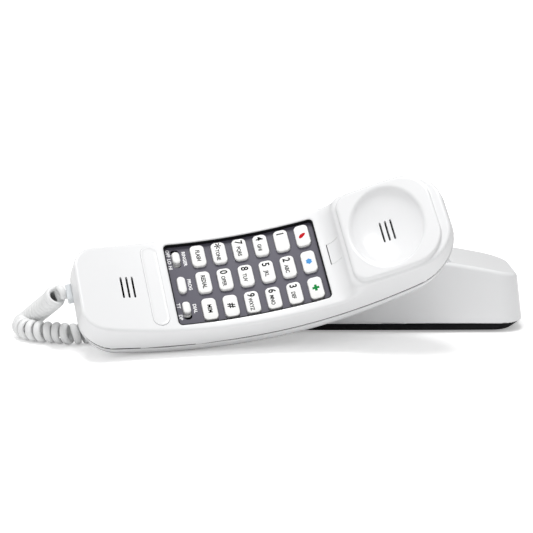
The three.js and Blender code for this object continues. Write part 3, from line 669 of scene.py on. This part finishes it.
def moulded(name, colour, roughness, grain=0.02, grain_scale=2600.0, mottle=0.015, coat=0.0, specular=0.5):
    """Moulded plastic: slow colour drift, a fine spark-eroded grain, and patches a little duller."""
    nodes = Nodes(name)
    where = nodes.add("ShaderNodeTexCoord").outputs["Object"]
    drift = nodes.add("ShaderNodeTexNoise", {"Vector": where, "Scale": 22.0, "Detail": 3.0})
    speckle = nodes.add("ShaderNodeTexNoise", {"Vector": where, "Scale": grain_scale, "Detail": 2.0})
    drift, speckle = drift.outputs["Fac"], speckle.outputs["Fac"]
    tint = nodes.add("ShaderNodeMix", {"Factor": drift}, data_type="RGBA")
    tint.inputs[MIX_A].default_value = [c * (1 - mottle) for c in colour] + [1]
    tint.inputs[MIX_B].default_value = [min(c * (1 + mottle), 1) for c in colour] + [1]
    dullness = {"Value": drift, "To Min": roughness * 0.9, "To Max": roughness * 1.12}
    rough = nodes.add("ShaderNodeMapRange", dullness)
    bump = nodes.add("ShaderNodeBump", {"Height": speckle, "Strength": grain * 10, "Distance": 0.00002})
    nodes.shade(base_color=tint.outputs[MIX_RESULT], roughness=rough.outputs["Result"])
    nodes.shade(normal=bump.outputs["Normal"], coat_weight=coat, coat_roughness=0.12)
    nodes.shade(specular_ior_level=specular)
    return nodes.material


def metal(name, colour, roughness):
    nodes = Nodes(name)
    where = nodes.add("ShaderNodeTexCoord").outputs["Object"]
    streak = nodes.add("ShaderNodeTexNoise", {"Vector": where, "Scale": 900.0, "Detail": 3.0}).outputs["Fac"]
    dullness = {"Value": streak, "To Min": roughness * 0.7, "To Max": roughness * 1.4}
    rough = nodes.add("ShaderNodeMapRange", dullness)
    bump = nodes.add("ShaderNodeBump", {"Height": streak, "Strength": 0.15, "Distance": 0.00003})
    nodes.shade(base_color=(*colour, 1), metallic=1.0, roughness=rough.outputs["Result"])
    nodes.shade(normal=bump.outputs["Normal"])
    return nodes.material


WHITE = moulded("white_shell", (0.86, 0.863, 0.87), 0.24, grain=0.012, coat=0.15)
KEY_WHITE = moulded("key_white", (0.9, 0.9, 0.89), 0.4)
SLATE = moulded("slate_panel", (0.085, 0.08, 0.11), 0.5, grain=0.06, grain_scale=1800.0, mottle=0.1)
CORD_WHITE = moulded("cord_white", (0.84, 0.845, 0.845), 0.36, grain=0.01)
BLACK = moulded("black_plastic", (0.006, 0.006, 0.007), 0.5, grain=0.04, mottle=0.1, specular=0.12)
RUBBER = moulded("soft_rubber", (0.02, 0.02, 0.021), 0.75, grain=0.06, mottle=0.15)
# dark felt for the gaskets and capsules, and painted shade on the strip inside the seam
FELT_AND_SEAM_SHADE = moulded("dark_felt_and_seam_shade", (0.006, 0.006, 0.006), 0.9, grain=0.05, mottle=0.2, specular=0.05)
CLEAR = moulded("clear_plastic", (0.72, 0.75, 0.77), 0.12, grain=0.0, coat=0.2)
GREEN_BOARD = moulded("circuit_board", (0.02, 0.14, 0.05), 0.35, mottle=0.12)
STEEL = metal("steel", (0.62, 0.63, 0.65), 0.3)
INK_BLACK = moulded("ink_black", (0.006, 0.006, 0.007), 0.6, specular=0.1)
INK_WHITE = moulded("ink_white", (0.9, 0.9, 0.91), 0.5)
INK_RED = moulded("ink_red", (0.55, 0.0, 0.008), 0.5, specular=0.1)
INK_BLUE = moulded("ink_blue", (0.08, 0.33, 0.72), 0.5, specular=0.1)
INK_GREEN = moulded("ink_green", (0.0, 0.24, 0.045), 0.5, specular=0.1)


def paint(piece, material):
    piece.data.materials.clear()
    piece.data.materials.append(material)
    return piece


# ---- handset shells

SHELL_STEP = 0.8
BASE_STEP = 1.0
LEVER_STEP = 0.3
SEAM_SHADE_STEP = 0.4


def slot_cutters(slots):
    """Three rounded slots side by side."""
    sizes = (slots["width"], slots["length"], slots["width"] * 0.45, slots["low"], slots["high"])
    places = [slots["x"] + i * slots["pitch"] for i in (-1, 0, 1)]
    return [prism(*sizes, shifted(HANDSET, x, slots["y"], 0)) for x in places]


def nameplate_frame():
    x = NAMEPLATE["x"]
    lean = Matrix.Rotation(-math.asin(x / KEY_RADIUS), 4, "Y")
    return shifted(HANDSET, x, 0, float(face(x))) @ lean


def nameplate_pocket():
    along, across = NAMEPLATE["along"], NAMEPLATE["across"]
    return prism(along, across, along / 2 - NEARLY_ROUND, -NAMEPLATE["depth"], 6, nameplate_frame(), 14)


def screw_hole(matrix, x, y, bottom, seat, top):
    """A cutter for a screw from below: wide up to the seat under its head, then as narrow as its shank."""
    head, shank = SCREW["head_hole"], SCREW["shank_hole"]
    levels = [(head, bottom), (head, seat), (shank, seat), (shank, top)]
    return stepped_pin(levels, shifted(matrix, x, y, 0))


def pilot_hole(matrix, x, y, bottom, top):
    return stepped_pin([(SCREW["shank_hole"], bottom), (SCREW["shank_hole"], top)], shifted(matrix, x, y, 0))


def make_front_shell():
    cutters = slot_cutters(EAR_SLOTS) + slot_cutters(MOUTH_SLOTS)
    for x, y, _ in SCREW_POSTS:
        level = float(seam(x))
        cutters.append(pilot_hole(HANDSET, x, y, level - 2, level + SCREW["pilot"]))
    low, high = LEVER["low"] - LEVER["hinge_gap"], LEVER["high"] + LEVER["gap"]
    sizes = (high - low, 2 * (LEVER["half"] + LEVER["gap"]), 0.2, -8, LEVER["crown"] + LEVER["gap"])
    cutters.append(prism(*sizes, shifted(HANDSET, (low + high) / 2, 0, 0)))
    cutters.append(nameplate_pocket())
    box = (-102, -33, -1), (109, 33, 27)
    shell = field_piece("handset_front_shell_moulding", front_shell, *box, SHELL_STEP, HANDSET, cutters, seam)
    finish_piece(paint(shell, WHITE), "handset", "white_shell", "handset_front_shell")


def make_back_shell():
    low, high = JACK["z"] - JACK["high"] / 2, JACK["z"] + JACK["high"] / 2
    opening = shifted(HANDSET, SEAM["tail"], JACK["y"], 0)
    cutters = [prism(2 * JACK["reach"], JACK["across"], 0.6, low, high, opening)]
    for x, y, _ in SCREW_POSTS:
        seat = float(seam(x)) - SCREW["sink"]
        cutters.append(screw_hole(HANDSET, x, y, -60, seat, seat + 12))
    box = (-102, -33, -15), (109, 33, 1)
    shell = field_piece("handset_back_shell_moulding", back_shell, *box, SHELL_STEP, HANDSET, cutters, seam)
    finish_piece(paint(shell, WHITE), "handset", "white_shell", "handset_back_shell")


def make_seam_shade_strip():
    shape = surface(seam_shade_strip, (-102, -33, -2), (109, 33, 1), SEAM_SHADE_STEP, seam)
    painted_strip = new_object("handset_seam_painted_shade", *shape, HANDSET)
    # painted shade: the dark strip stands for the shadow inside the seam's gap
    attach(paint(painted_strip, FELT_AND_SEAM_SHADE), "handset")


def make_nameplate():
    """A blank pill-shaped plate let into the face, with a fine raised rim."""
    trim = 2 * NAMEPLATE["gap"]
    along, across, proud = NAMEPLATE["along"] - trim, NAMEPLATE["across"] - trim, NAMEPLATE["proud"]
    rim = [(0.62, proud), (0.9, proud - 0.14), (1.5, proud - 0.16), (3.0, proud - 0.16)]
    profile = [(0.2, 0.05 - NAMEPLATE["depth"]), (0, -0.3), *rounded_edge(proud, 0.3, 4), *rim]
    shape = pillow(along, across, along / 2 - NEARLY_ROUND, profile, 14)
    plate = new_object("nameplate_blank", *shape, nameplate_frame())
    shade_by_angle(plate, 40)
    finish_piece(paint(plate, WHITE), "handset", "white_shell", "nameplate")


def make_lever():
    low = (LEVER["low"] - 1, -LEVER["half"] - 1, -1)
    high = (LEVER["high"] + 1, LEVER["half"] + 1, LEVER["crown"] + 1)
    blade = field_piece("hook_lever_blade", lever_blade, low, high, LEVER_STEP, HANDSET)
    finish_piece(paint(blade, WHITE), "hook_lever", "white_shell", "hook_lever")


# ---- legends

READING = Matrix(((0, 1, 0, 0), (-1, 0, 0, 0), (0, 0, 1, 0), (0, 0, 0, 1)))  # across, tops to the earpiece
PRINT_HEIGHT, PRINT_HALF = 0.012, 0.02
DIGIT = dict(size=5.6, condensed=0.86, bold=0.16)
STAR = dict(size=8.5, condensed=1.0, bold=0.08)
LETTERS = dict(size=3.0, condensed=0.86, bold=0.08)
WORD = dict(size=3.2, condensed=0.8, bold=0.1)
PANEL_TEXT = dict(size=2.6, condensed=1.02, bold=0.09)
DIGIT_SHIFT = (-4.3, 0.0, 0.0)
LETTERS_SHIFT = (1.3, -0.85, 0.0)


def legend(text, material, place, size, condensed, bold):
    """Printed lettering as a thin raised mesh, centred on place, whose X is the reading direction."""
    curve = bpy.data.curves.new("legend", "FONT")
    curve.body, curve.size, curve.extrude, curve.offset = text, size, PRINT_HALF, bold
    curve.resolution_u = 3
    made = placed("legend", curve)
    bpy.context.view_layer.update()
    mesh = bpy.data.meshes.new_from_object(made.evaluated_get(bpy.context.evaluated_depsgraph_get()))
    bpy.data.objects.remove(made)
    middle = [sum(f(v.co[k] for v in mesh.vertices) for f in (min, max)) / 2 for k in (0, 1)]
    centred = Matrix.Diagonal((condensed, 1, 1, 1)) @ Matrix.Translation((-middle[0], -middle[1], 0))
    mesh.transform(place @ centred)
    return paint(placed("legend", mesh), material)


def flat_mark(plan, material, place):
    """A small printed shape as a thin raised mesh."""
    rings = [[(x, y, height) for x, y in plan] for height in (-PRINT_HALF, PRINT_HALF)]
    return paint(new_object("mark", *stack(rings), place, smooth=False), material)


def cross_plan(reach, half):
    corner = [(half, reach), (half, half), (reach, half)]
    points = []
    for quarter in range(4):
        c, s = math.cos(quarter * math.pi / 2), -math.sin(quarter * math.pi / 2)
        points += [(x * c - y * s, x * s + y * c) for x, y in corner]
    return points[::-1]


def badge_plan(reach, points=12, waist=0.78):
    turns = [(i * 2 * math.pi / points, reach if i % 2 == 0 else reach * waist) for i in range(points)]
    return [(radius * math.cos(angle), radius * math.sin(angle)) for angle, radius in turns]


def flame_plan(reach, points=20):
    """A teardrop leaning to one side."""
    plan = []
    for i in range(points):
        angle = i / points * 2 * math.pi
        up = math.cos(angle)
        width = math.sin(angle) * (0.36 + 0.3 * (1 - up) / 2)
        plan.append((reach * (width - 0.42 * up), reach * 0.86 * up))
    return plan[::-1]


# Rows from the mouthpiece to the earpiece, each from the upper key to the lower: name, digit, word.
KEY_TABLE = [
    [("key_flash", "", "FLASH"), ("key_redial", "", "REDIAL"), ("key_mem", "", "MEM")],
    [("key_star", "*", "TONE"), ("key_0", "0", "OPER"), ("key_pound", "#", "")],
    [("key_7", "7", "PQRS"), ("key_8", "8", "TUV"), ("key_9", "9", "WXYZ")],
    [("key_4", "4", "GHI"), ("key_5", "5", "JKL"), ("key_6", "6", "MNO")],
    [("key_1", "1", ""), ("key_2", "2", "ABC"), ("key_3", "3", "DEF")],
    [("key_fire", "", "flame"), ("key_police", "", "badge"), ("key_medical", "", "cross")],
]
MARKS = {
    "flame": (flame_plan(2.3), INK_RED),
    "badge": (badge_plan(1.9), INK_BLUE),
    "cross": (cross_plan(1.9, 0.7), INK_GREEN),
}
# Text, arc length and how far across.
PANEL_LEGENDS = [
    ("RINGER", -37.1, 17.0),
    ("OFF", -45.7, 21.4),
    ("LO", -45.7, 16.2),
    ("HI", -45.7, 12.2),
    ("PROG", -37.2, 0.3),
    ("DIAL", -37.1, -15.0),
    ("TT", -45.7, -12.3),
    ("DP", -45.7, -19.6),
]

# ---- keypad


def key_cap(name, size, place, edge):
    """A key: a flange that stays under the bezel, upright sides, a soft edge and a flat top."""
    flange = [(-FLANGE["margin"], FLANGE["bottom"]), (-FLANGE["margin"], FLANGE["top"])]
    profile = [*flange, (0.0, FLANGE["top"]), (0.0, -2.0), *rounded_edge(0.0, edge, 6)]
    cap = new_object(name, *pillow(size["along"], size["across"], size["round"], profile, 7), place)
    shade_by_angle(cap, 42)
    return paint(cap, KEY_WHITE)


def key_prints(digit, word, top):
    """The legends of one key, on the frame of its top."""
    if word in MARKS:
        plan, ink = MARKS[word]
        return [flat_mark(plan, ink, top)]
    if digit == "#":
        return [legend(digit, INK_BLACK, top, **DIGIT)]
    if not digit:
        return [legend(word, INK_BLACK, top, **WORD)]
    prints = [legend(digit, INK_BLACK, shifted(top, *DIGIT_SHIFT), **(STAR if digit == "*" else DIGIT))]
    if word:
        prints.append(legend(word, INK_BLACK, shifted(top, *LETTERS_SHIFT), **LETTERS))
    return prints


def key_place(i, j):
    return (i - 2.5) * KEY_PITCH["along"], (1 - j) * KEY_PITCH["across"]


def make_keys():
    for i, row in enumerate(KEY_TABLE):
        for j, (name, digit, word) in enumerate(row):
            place = on_arc(*key_place(i, j))
            cap = key_cap(name + "_cap", KEY, place, 0.5)
            prints = key_prints(digit, word, shifted(place, 0, 0, PRINT_HEIGHT) @ READING)
            finish_piece(joined([cap, *prints]), name, "key_white", name)
    button = key_cap("prog_button_cap", PROG, on_arc(SMALL_ROW), 0.7)
    finish_piece(button, "prog_button", "key_white", "prog_button")
    for name, knob in KNOBS.items():
        cap = key_cap(name + "_cap", KNOB, on_arc(SMALL_ROW, knob["y"]), 0.8)
        finish_piece(cap, name, "key_white", name)


def bezel_plate():
    """An arc plate that fills the recess and reaches under the shell round it."""
    lip, steps = BEZEL["lip"], 44
    low, high, width = RECESS["low"] - lip, RECESS["high"] + lip, RECESS["half"] + lip
    section = [(-width, BEZEL["depth"] + BEZEL["thickness"]), (width, BEZEL["depth"] + BEZEL["thickness"])]
    section += [(width, BEZEL["depth"]), (-width, BEZEL["depth"])]
    rings = []
    for i in range(steps + 1):
        angle = (low + (high - low) * i / steps) / KEY_RADIUS
        rings.append([arc_point(angle, y, KEY_RADIUS + depth) for y, depth in section])
    return tidied(new_object("keypad_panel_bezel", *stack(rings), HANDSET, smooth=False))


def arc_point(angle, y, radius):
    return (radius * math.sin(angle), y, KEY_RADIUS - radius * math.cos(angle))


def recess_liner():
    """A dark upstand that lines the recess, from the bezel to just under the face."""
    middle, along = (RECESS["low"] + RECESS["high"]) / 2, RECESS["high"] - RECESS["low"]
    foot = -BEZEL["depth"] - 0.1
    section = [(0.05, foot), (0.05, 0.6), (0.15, 0.7), (0.4, 0.7), (0.52, 0.58), (0.52, foot), (0.05, foot)]
    rings = []
    for inset, height in section:
        plan = rounded_outline(along - 2 * inset, 2 * RECESS["half"] - 2 * inset, RECESS["round"] - inset, 8)
        fine = broken_up([(x + middle, y) for x, y in plan], 3.0)
        rings.append([(x, y, float(arc(x)) + height) for x, y in fine])
    return tidied(new_object("liner", *stack(rings, close=False), HANDSET, smooth=False))


def broken_up(plan, longest, parts=24):
    """The same outline with its long straight runs broken up, so that they can bend."""
    points = []
    for a, b in zip(plan, plan[1:] + plan[:1]):
        pieces = 1 if math.dist(a, b) <= longest else parts
        for i in range(pieces):
            points.append((a[0] + (b[0] - a[0]) * i / pieces, a[1] + (b[1] - a[1]) * i / pieces))
    return points


def make_panel():
    """The dark bezel with a hole for every key and a slot for every knob."""

    def hole(s, y, size, extra=0.0):
        sizes = (size["along"] + 2 * KEY_GAP, size["across"] + extra + 2 * KEY_GAP, size["round"] + KEY_GAP)
        return prism(*sizes, -6, 3, on_arc(s, y), 6)

    panel = bezel_plate()
    cutters = [hole(*key_place(i, j), KEY) for i in range(6) for j in range(3)]
    cutters.append(hole(SMALL_ROW, 0, PROG))
    for knob in KNOBS.values():
        middle, travel = knob["y"] + (knob["high"] + knob["low"]) / 2, knob["high"] - knob["low"]
        cutters.append(hole(SMALL_ROW, middle, KNOB, travel))
    cut_with(panel, cutters)
    pieces = [paint(panel, SLATE), paint(recess_liner(), BLACK)]
    for text, s, y in PANEL_LEGENDS:
        place = shifted(on_arc(s, y), 0, 0, PRINT_HEIGHT - BEZEL["depth"]) @ READING
        pieces.append(legend(text, INK_WHITE, place, **PANEL_TEXT))
    finish_piece(joined(pieces), "handset", "slate_panel", "keypad_panel")


# ---- base


def make_housing():
    half = JACK["high"] / 2
    low, high = BASE_JACK_HEIGHT - half, BASE_JACK_HEIGHT + half
    cutters = []
    for x in (BASE_FOOT["tail"], BASE_FOOT["nose"]):
        cutters.append(prism(2 * JACK["reach"], JACK["across"], 0.6, low, high, shifted(BASE, x, 0, 0)))
    cutters += [pilot_hole(BASE, x, y, 0, BASE_PILOT_TOP) for x, y in BASE_SCREWS]
    gap = TAB["gap"]
    sizes = (TAB["along"] + 2 * gap, TAB["across"] + 2 * gap, 0.8, TAB["low"] - gap, TAB["high"] + gap)
    cutters.append(prism(*sizes, shifted(BASE, TAB["x"], 0, 0)))
    box = (-101, -33, 4), (101, 33, 43)
    housing = field_piece("base_housing_moulding", base_shell, *box, BASE_STEP, BASE, cutters)
    finish_piece(paint(housing, WHITE), "base", "white_shell", "base_housing")


def make_plate():
    """The black plate under the housing, its ends sloping in, with its screw holes and keyholes."""
    levels = [(PLATE_LOW, 0.0, PLATE_EDGE), (PLATE_LOW + PLATE_EDGE, PLATE_EDGE, 0.0)]
    levels += [(PLATE_HIGH - 0.2, 1.0, 0.0), (PLATE_HIGH, 1.0, 0.2)]
    rings = []
    for height, rise, inset in levels:
        share = rise if rise == 1.0 else (height - PLATE_LOW) / (PLATE_HIGH - PLATE_LOW)
        plan = plan_outline(shrunk(mixed(PLATE_FOOT, PLATE_TOP, share), inset))
        rings.append([(x, y, height) for x, y in plan])
    plate = tidied(new_object("base_plate_moulding", *stack(rings), BASE))
    cutters = [screw_hole(BASE, x, y, -1, PLATE_SCREW_SEAT, PLATE_HIGH + 1) for x, y in BASE_SCREWS]
    for x in KEYHOLE["places"]:
        entry = KEYHOLE["entry"] / 2
        cutters.append(stepped_pin([(entry, -1), (entry, PLATE_HIGH + 1)], shifted(BASE, x, 0, 0)))
        length, neck = KEYHOLE["length"] + KEYHOLE["neck"] / 2, KEYHOLE["neck"]
        slot_place = shifted(BASE, x - length / 2, 0, 0)
        slot_sizes = (length, neck, neck / 2 - NEARLY_ROUND, -1, PLATE_HIGH + 1)
        cut_with(plate, [prism(*slot_sizes, slot_place, 6)])
    cut_with(plate, cutters)
    shade_by_angle(plate, 30)
    finish_piece(paint(plate, BLACK), "base", "black_plastic", "base_plate")


def shrunk(o, inset):
    """An outline pulled in all round."""
    halves = (o["tail_half"] - inset, o["half"] - inset, o["nose_half"] - inset)
    rounds = (o["tail_round"] - inset, o["nose_round"] - inset)
    return outline(o["tail"] + inset, o["nose"] - inset, halves, rounds)


def make_feet():
    for i, x in enumerate(FEET):
        profile = [(0.3, 0.0), (0, 0.2), (0, PLATE_LOW)]
        shape = pillow(FOOT["along"], FOOT["across"], FOOT["round"], profile, 6)
        foot = new_object(f"foot_{i + 1}_pad", *shape, shifted(BASE, x, 0, 0))
        shade_by_angle(foot, 40)
        finish_piece(paint(foot, RUBBER), "base", "soft_rubber", f"foot_{i + 1}")


def make_tab():
    """The tab that holds the handset when the base hangs on a wall."""
    profile = [(0.0, TAB["low"]), *rounded_edge(TAB["high"], 1.0, 5)]
    shape = pillow(TAB["along"], TAB["across"], 0.8, profile, 4)
    tab = new_object("wall_hook_tab_moulding", *shape, shifted(BASE, TAB["x"], 0, 0))
    shade_by_angle(tab, 40)
    finish_piece(paint(tab, WHITE), "base", "white_shell", "wall_hook_tab")


# ---- cord


def smooth_path(points, samples):
    """Catmull-Rom through the points, resampled at even steps."""
    p = [np.array(q, float) for q in points]
    p = [2 * p[0] - p[1], *p, 2 * p[-1] - p[-2]]
    fine = []
    for a, b, c, d in zip(p, p[1:], p[2:], p[3:]):
        for t in np.linspace(0, 1, 60, endpoint=False):
            curve = 2 * b + (c - a) * t + (2 * a - 5 * b + 4 * c - d) * t**2 + (3 * b - a - 3 * c + d) * t**3
            fine.append(0.5 * curve)
    fine = np.array([*fine, p[-2]])
    run = np.concatenate([[0], np.cumsum(np.linalg.norm(np.diff(fine, axis=0), axis=1))])
    even = np.linspace(0, run[-1], samples)
    return np.stack([np.interp(even, run, fine[:, k]) for k in range(3)], axis=1), run[-1]


def carried_frames(path):
    """Two normals at each point, carried along the path without twisting."""
    tangents = unit(np.gradient(path, axis=0))
    normal = np.cross(tangents[0], (0, 0, 1))
    normals = []
    for tangent in tangents:
        normal = normal - tangent * (normal @ tangent)
        normal = normal / np.linalg.norm(normal)
        normals.append(normal)
    normals = np.array(normals)
    return normals, np.cross(tangents, normals)


def skin(path, normals, sideways, thick, broad, sides):
    """An elliptical rod along a path, closed at both ends."""
    turns = [2 * math.pi * k / sides for k in range(sides)]
    rings = []
    for point, normal, side, high, wide in zip(path, normals, sideways, thick, broad):
        rings.append([tuple(point + high * math.cos(a) * normal + wide * math.sin(a) * side) for a in turns])
    return stack(rings)


def make_cord():
    """A wire wound round the cord's path: tight at first, more open along the floor."""
    to_base = BASE.inverted() @ HANDSET
    mouth = SEAM["tail"] - PLUG["proud"]
    near = [tuple(to_base @ Vector((mouth - out, JACK["y"], JACK["z"]))) for out in CORD_LEAD["out"]]
    path = [*near, *CORD_POINTS]
    _, length = smooth_path(path, 400)
    samples = int(length * 7)
    spine, _ = smooth_path(path, samples)
    normals, sideways = carried_frames(spine)
    run = np.linspace(0, length, samples)
    turn_from, turn_to = COIL_PITCH["turn_from"], COIL_PITCH["turn_to"]
    turn = smoothstep((run / length - turn_from) / (turn_to - turn_from))
    pitch = COIL_PITCH["upper"] + (COIL_PITCH["lower"] - COIL_PITCH["upper"]) * turn
    pitch = pitch * (1 + 0.05 * np.sin(run * 0.09) + 0.03 * np.sin(run * 0.31))
    phase = np.cumsum(2 * math.pi / pitch) * (run[1] - run[0])
    lead = (np.minimum(run, length - run) - CORD_LEAD["straight"]) / CORD_LEAD["opening"]
    spread = COIL_RADIUS * smoothstep(lead)
    radial = np.cos(phase)[:, None] * normals + np.sin(phase)[:, None] * sideways
    wire = spine + spread[:, None] * radial
    tangents = unit(np.gradient(wire, axis=0))
    radial = unit(radial - (radial * tangents).sum(1)[:, None] * tangents)
    broad = WIRE_THICK + (WIRE_BROAD - WIRE_THICK) * smoothstep(lead)
    shape = skin(wire, radial, np.cross(tangents, radial), np.full(samples, WIRE_THICK), broad, 12)
    cord = new_object("coil_cord_coils", *shape, BASE)
    paint(cord, CORD_WHITE)
    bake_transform(cord)
    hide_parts("coil_cord")


def make_plug(name, body, matrix, node):
    """A clear modular plug with the strain relief that the cord leaves from."""
    top = PLUG["high"] / 2
    profile = [(0.4, -top), (0, 0.4 - top), (0, top - 0.4), (0.4, top)]
    shape = pillow(PLUG["length"], PLUG["across"], 0.8, profile, 4)
    plug = paint(new_object(name, *shape, shifted(matrix, PLUG["length"] / 2 + 0.1, 0, 0)), CLEAR)
    steps = 10
    line = np.stack([np.linspace(-PLUG["proud"], 2.0, steps), np.zeros(steps), np.zeros(steps)], axis=1)
    radii = np.linspace(2.1, 2.6, steps)
    relief = new_object("relief", *skin(line, *carried_frames(line), radii, radii, 18), matrix)
    joined([plug, paint(relief, CORD_WHITE)])
    shade_by_angle(plug, 35)
    finish_piece(plug, body, "clear_plastic", node)


# ---- build

make_front_shell()
make_back_shell()
make_seam_shade_strip()
make_panel()
make_keys()
make_nameplate()
make_lever()
make_housing()
make_plate()
make_feet()
make_tab()
make_cord()
handset_mouth = shifted(HANDSET, SEAM["tail"] - PLUG["proud"], JACK["y"], JACK["z"])
base_mouth = shifted(BASE, BASE_FOOT["tail"] - PLUG["proud"], 0, BASE_JACK_HEIGHT)
make_plug("cord_plug_handset_body", "handset", handset_mouth, "cord_plug_handset")
make_plug("cord_plug_base_body", "base", base_mouth, "cord_plug_base")

CAD_LOOKS = [
    (STEEL, ["hook_switch_spring", "ballast_weight"]),
    (STEEL, [f"handset_screw_{i}" for i in (1, 2, 3)] + [f"base_screw_{i}" for i in (1, 2, 3, 4)]),
    (GREEN_BOARD, ["main_circuit_board", "base_circuit_board"]),
    (RUBBER, ["keypad_membrane"]),
    (FELT_AND_SEAM_SHADE, ["receiver_gasket", "receiver_capsule", "microphone_boot", "microphone_capsule"]),
    (BLACK, ["ringer_switch_body", "dial_switch_body", "ringer_sounder"]),
    (BLACK, ["handset_cord_socket", "base_cord_socket", "line_cord_socket"]),
]
for material, nodes in CAD_LOOKS:
    for node in nodes:
        paint(frame["nodes"][node], material)

# ---- studio

GLOW_NEAR, GLOW_FAR = 0.34, 1.0  # the light the camera sees the floor give, near the object and far off


def make_floor():
    nodes = Nodes("floor")
    where = nodes.add("ShaderNodeTexCoord").outputs["Object"]
    distance = nodes.add("ShaderNodeVectorMath", operation="LENGTH")
    nodes.put(distance.inputs[0], where)
    reach = {"Value": distance.outputs["Value"], "From Min": 0.35, "From Max": 1.2}
    glow = nodes.add("ShaderNodeMapRange", {**reach, "To Min": GLOW_NEAR, "To Max": GLOW_FAR})
    nodes.shade(base_color=(0.93, 0.93, 0.93, 1), roughness=0.7, specular_ior_level=0.1)
    seen = nodes.add("ShaderNodeLightPath").outputs["Is Camera Ray"]
    strength = nodes.add("ShaderNodeMath", operation="MULTIPLY")
    nodes.put(strength.inputs[0], glow.outputs["Result"])
    nodes.put(strength.inputs[1], seen)
    nodes.shade(emission_color=(1, 1, 1, 1), emission_strength=strength.outputs["Value"])
    bpy.ops.mesh.primitive_plane_add(size=30, location=(0, 0, -0.0002))
    floor = bpy.context.object
    floor.name = "floor"
    paint(floor, nodes.material)


def area_light(name, place, aim, size, power):
    data = bpy.data.lights.new(name, "AREA")
    data.shape, data.size, data.size_y, data.energy = "RECTANGLE", size[0], size[1], power
    light = placed(name, data)
    light.location = place
    light.rotation_euler = (Vector(aim) - Vector(place)).to_track_quat("-Z", "Y").to_euler()


make_floor()
world = bpy.data.worlds.new("studio")
bpy.context.scene.world = world
world.use_nodes = True
world.node_tree.nodes["Background"].inputs["Color"].default_value = (1, 1, 1, 1)
world.node_tree.nodes["Background"].inputs["Strength"].default_value = 0.48
area_light("key", (-0.12, -0.08, 1.42), (0, 0, 0), (0.7, 0.5), 12.9)
area_light("fill", (-0.5, -1.2, 0.7), (0, 0, 0), (1.2, 0.9), 2.2)
bpy.context.scene.view_settings.view_transform = "Standard"

CAMERA_PLACE = (-0.002363, -0.879372, 0.210201)
CAMERA_DROP = math.radians(11)
camera_data = bpy.data.cameras.new("camera")
camera_data.sensor_width = 36
camera_data.lens = 106.8
camera = placed("camera", camera_data)
camera.location = CAMERA_PLACE
camera.rotation_euler = (math.pi / 2 - CAMERA_DROP, 0, 0)
bpy.context.scene.camera = camera
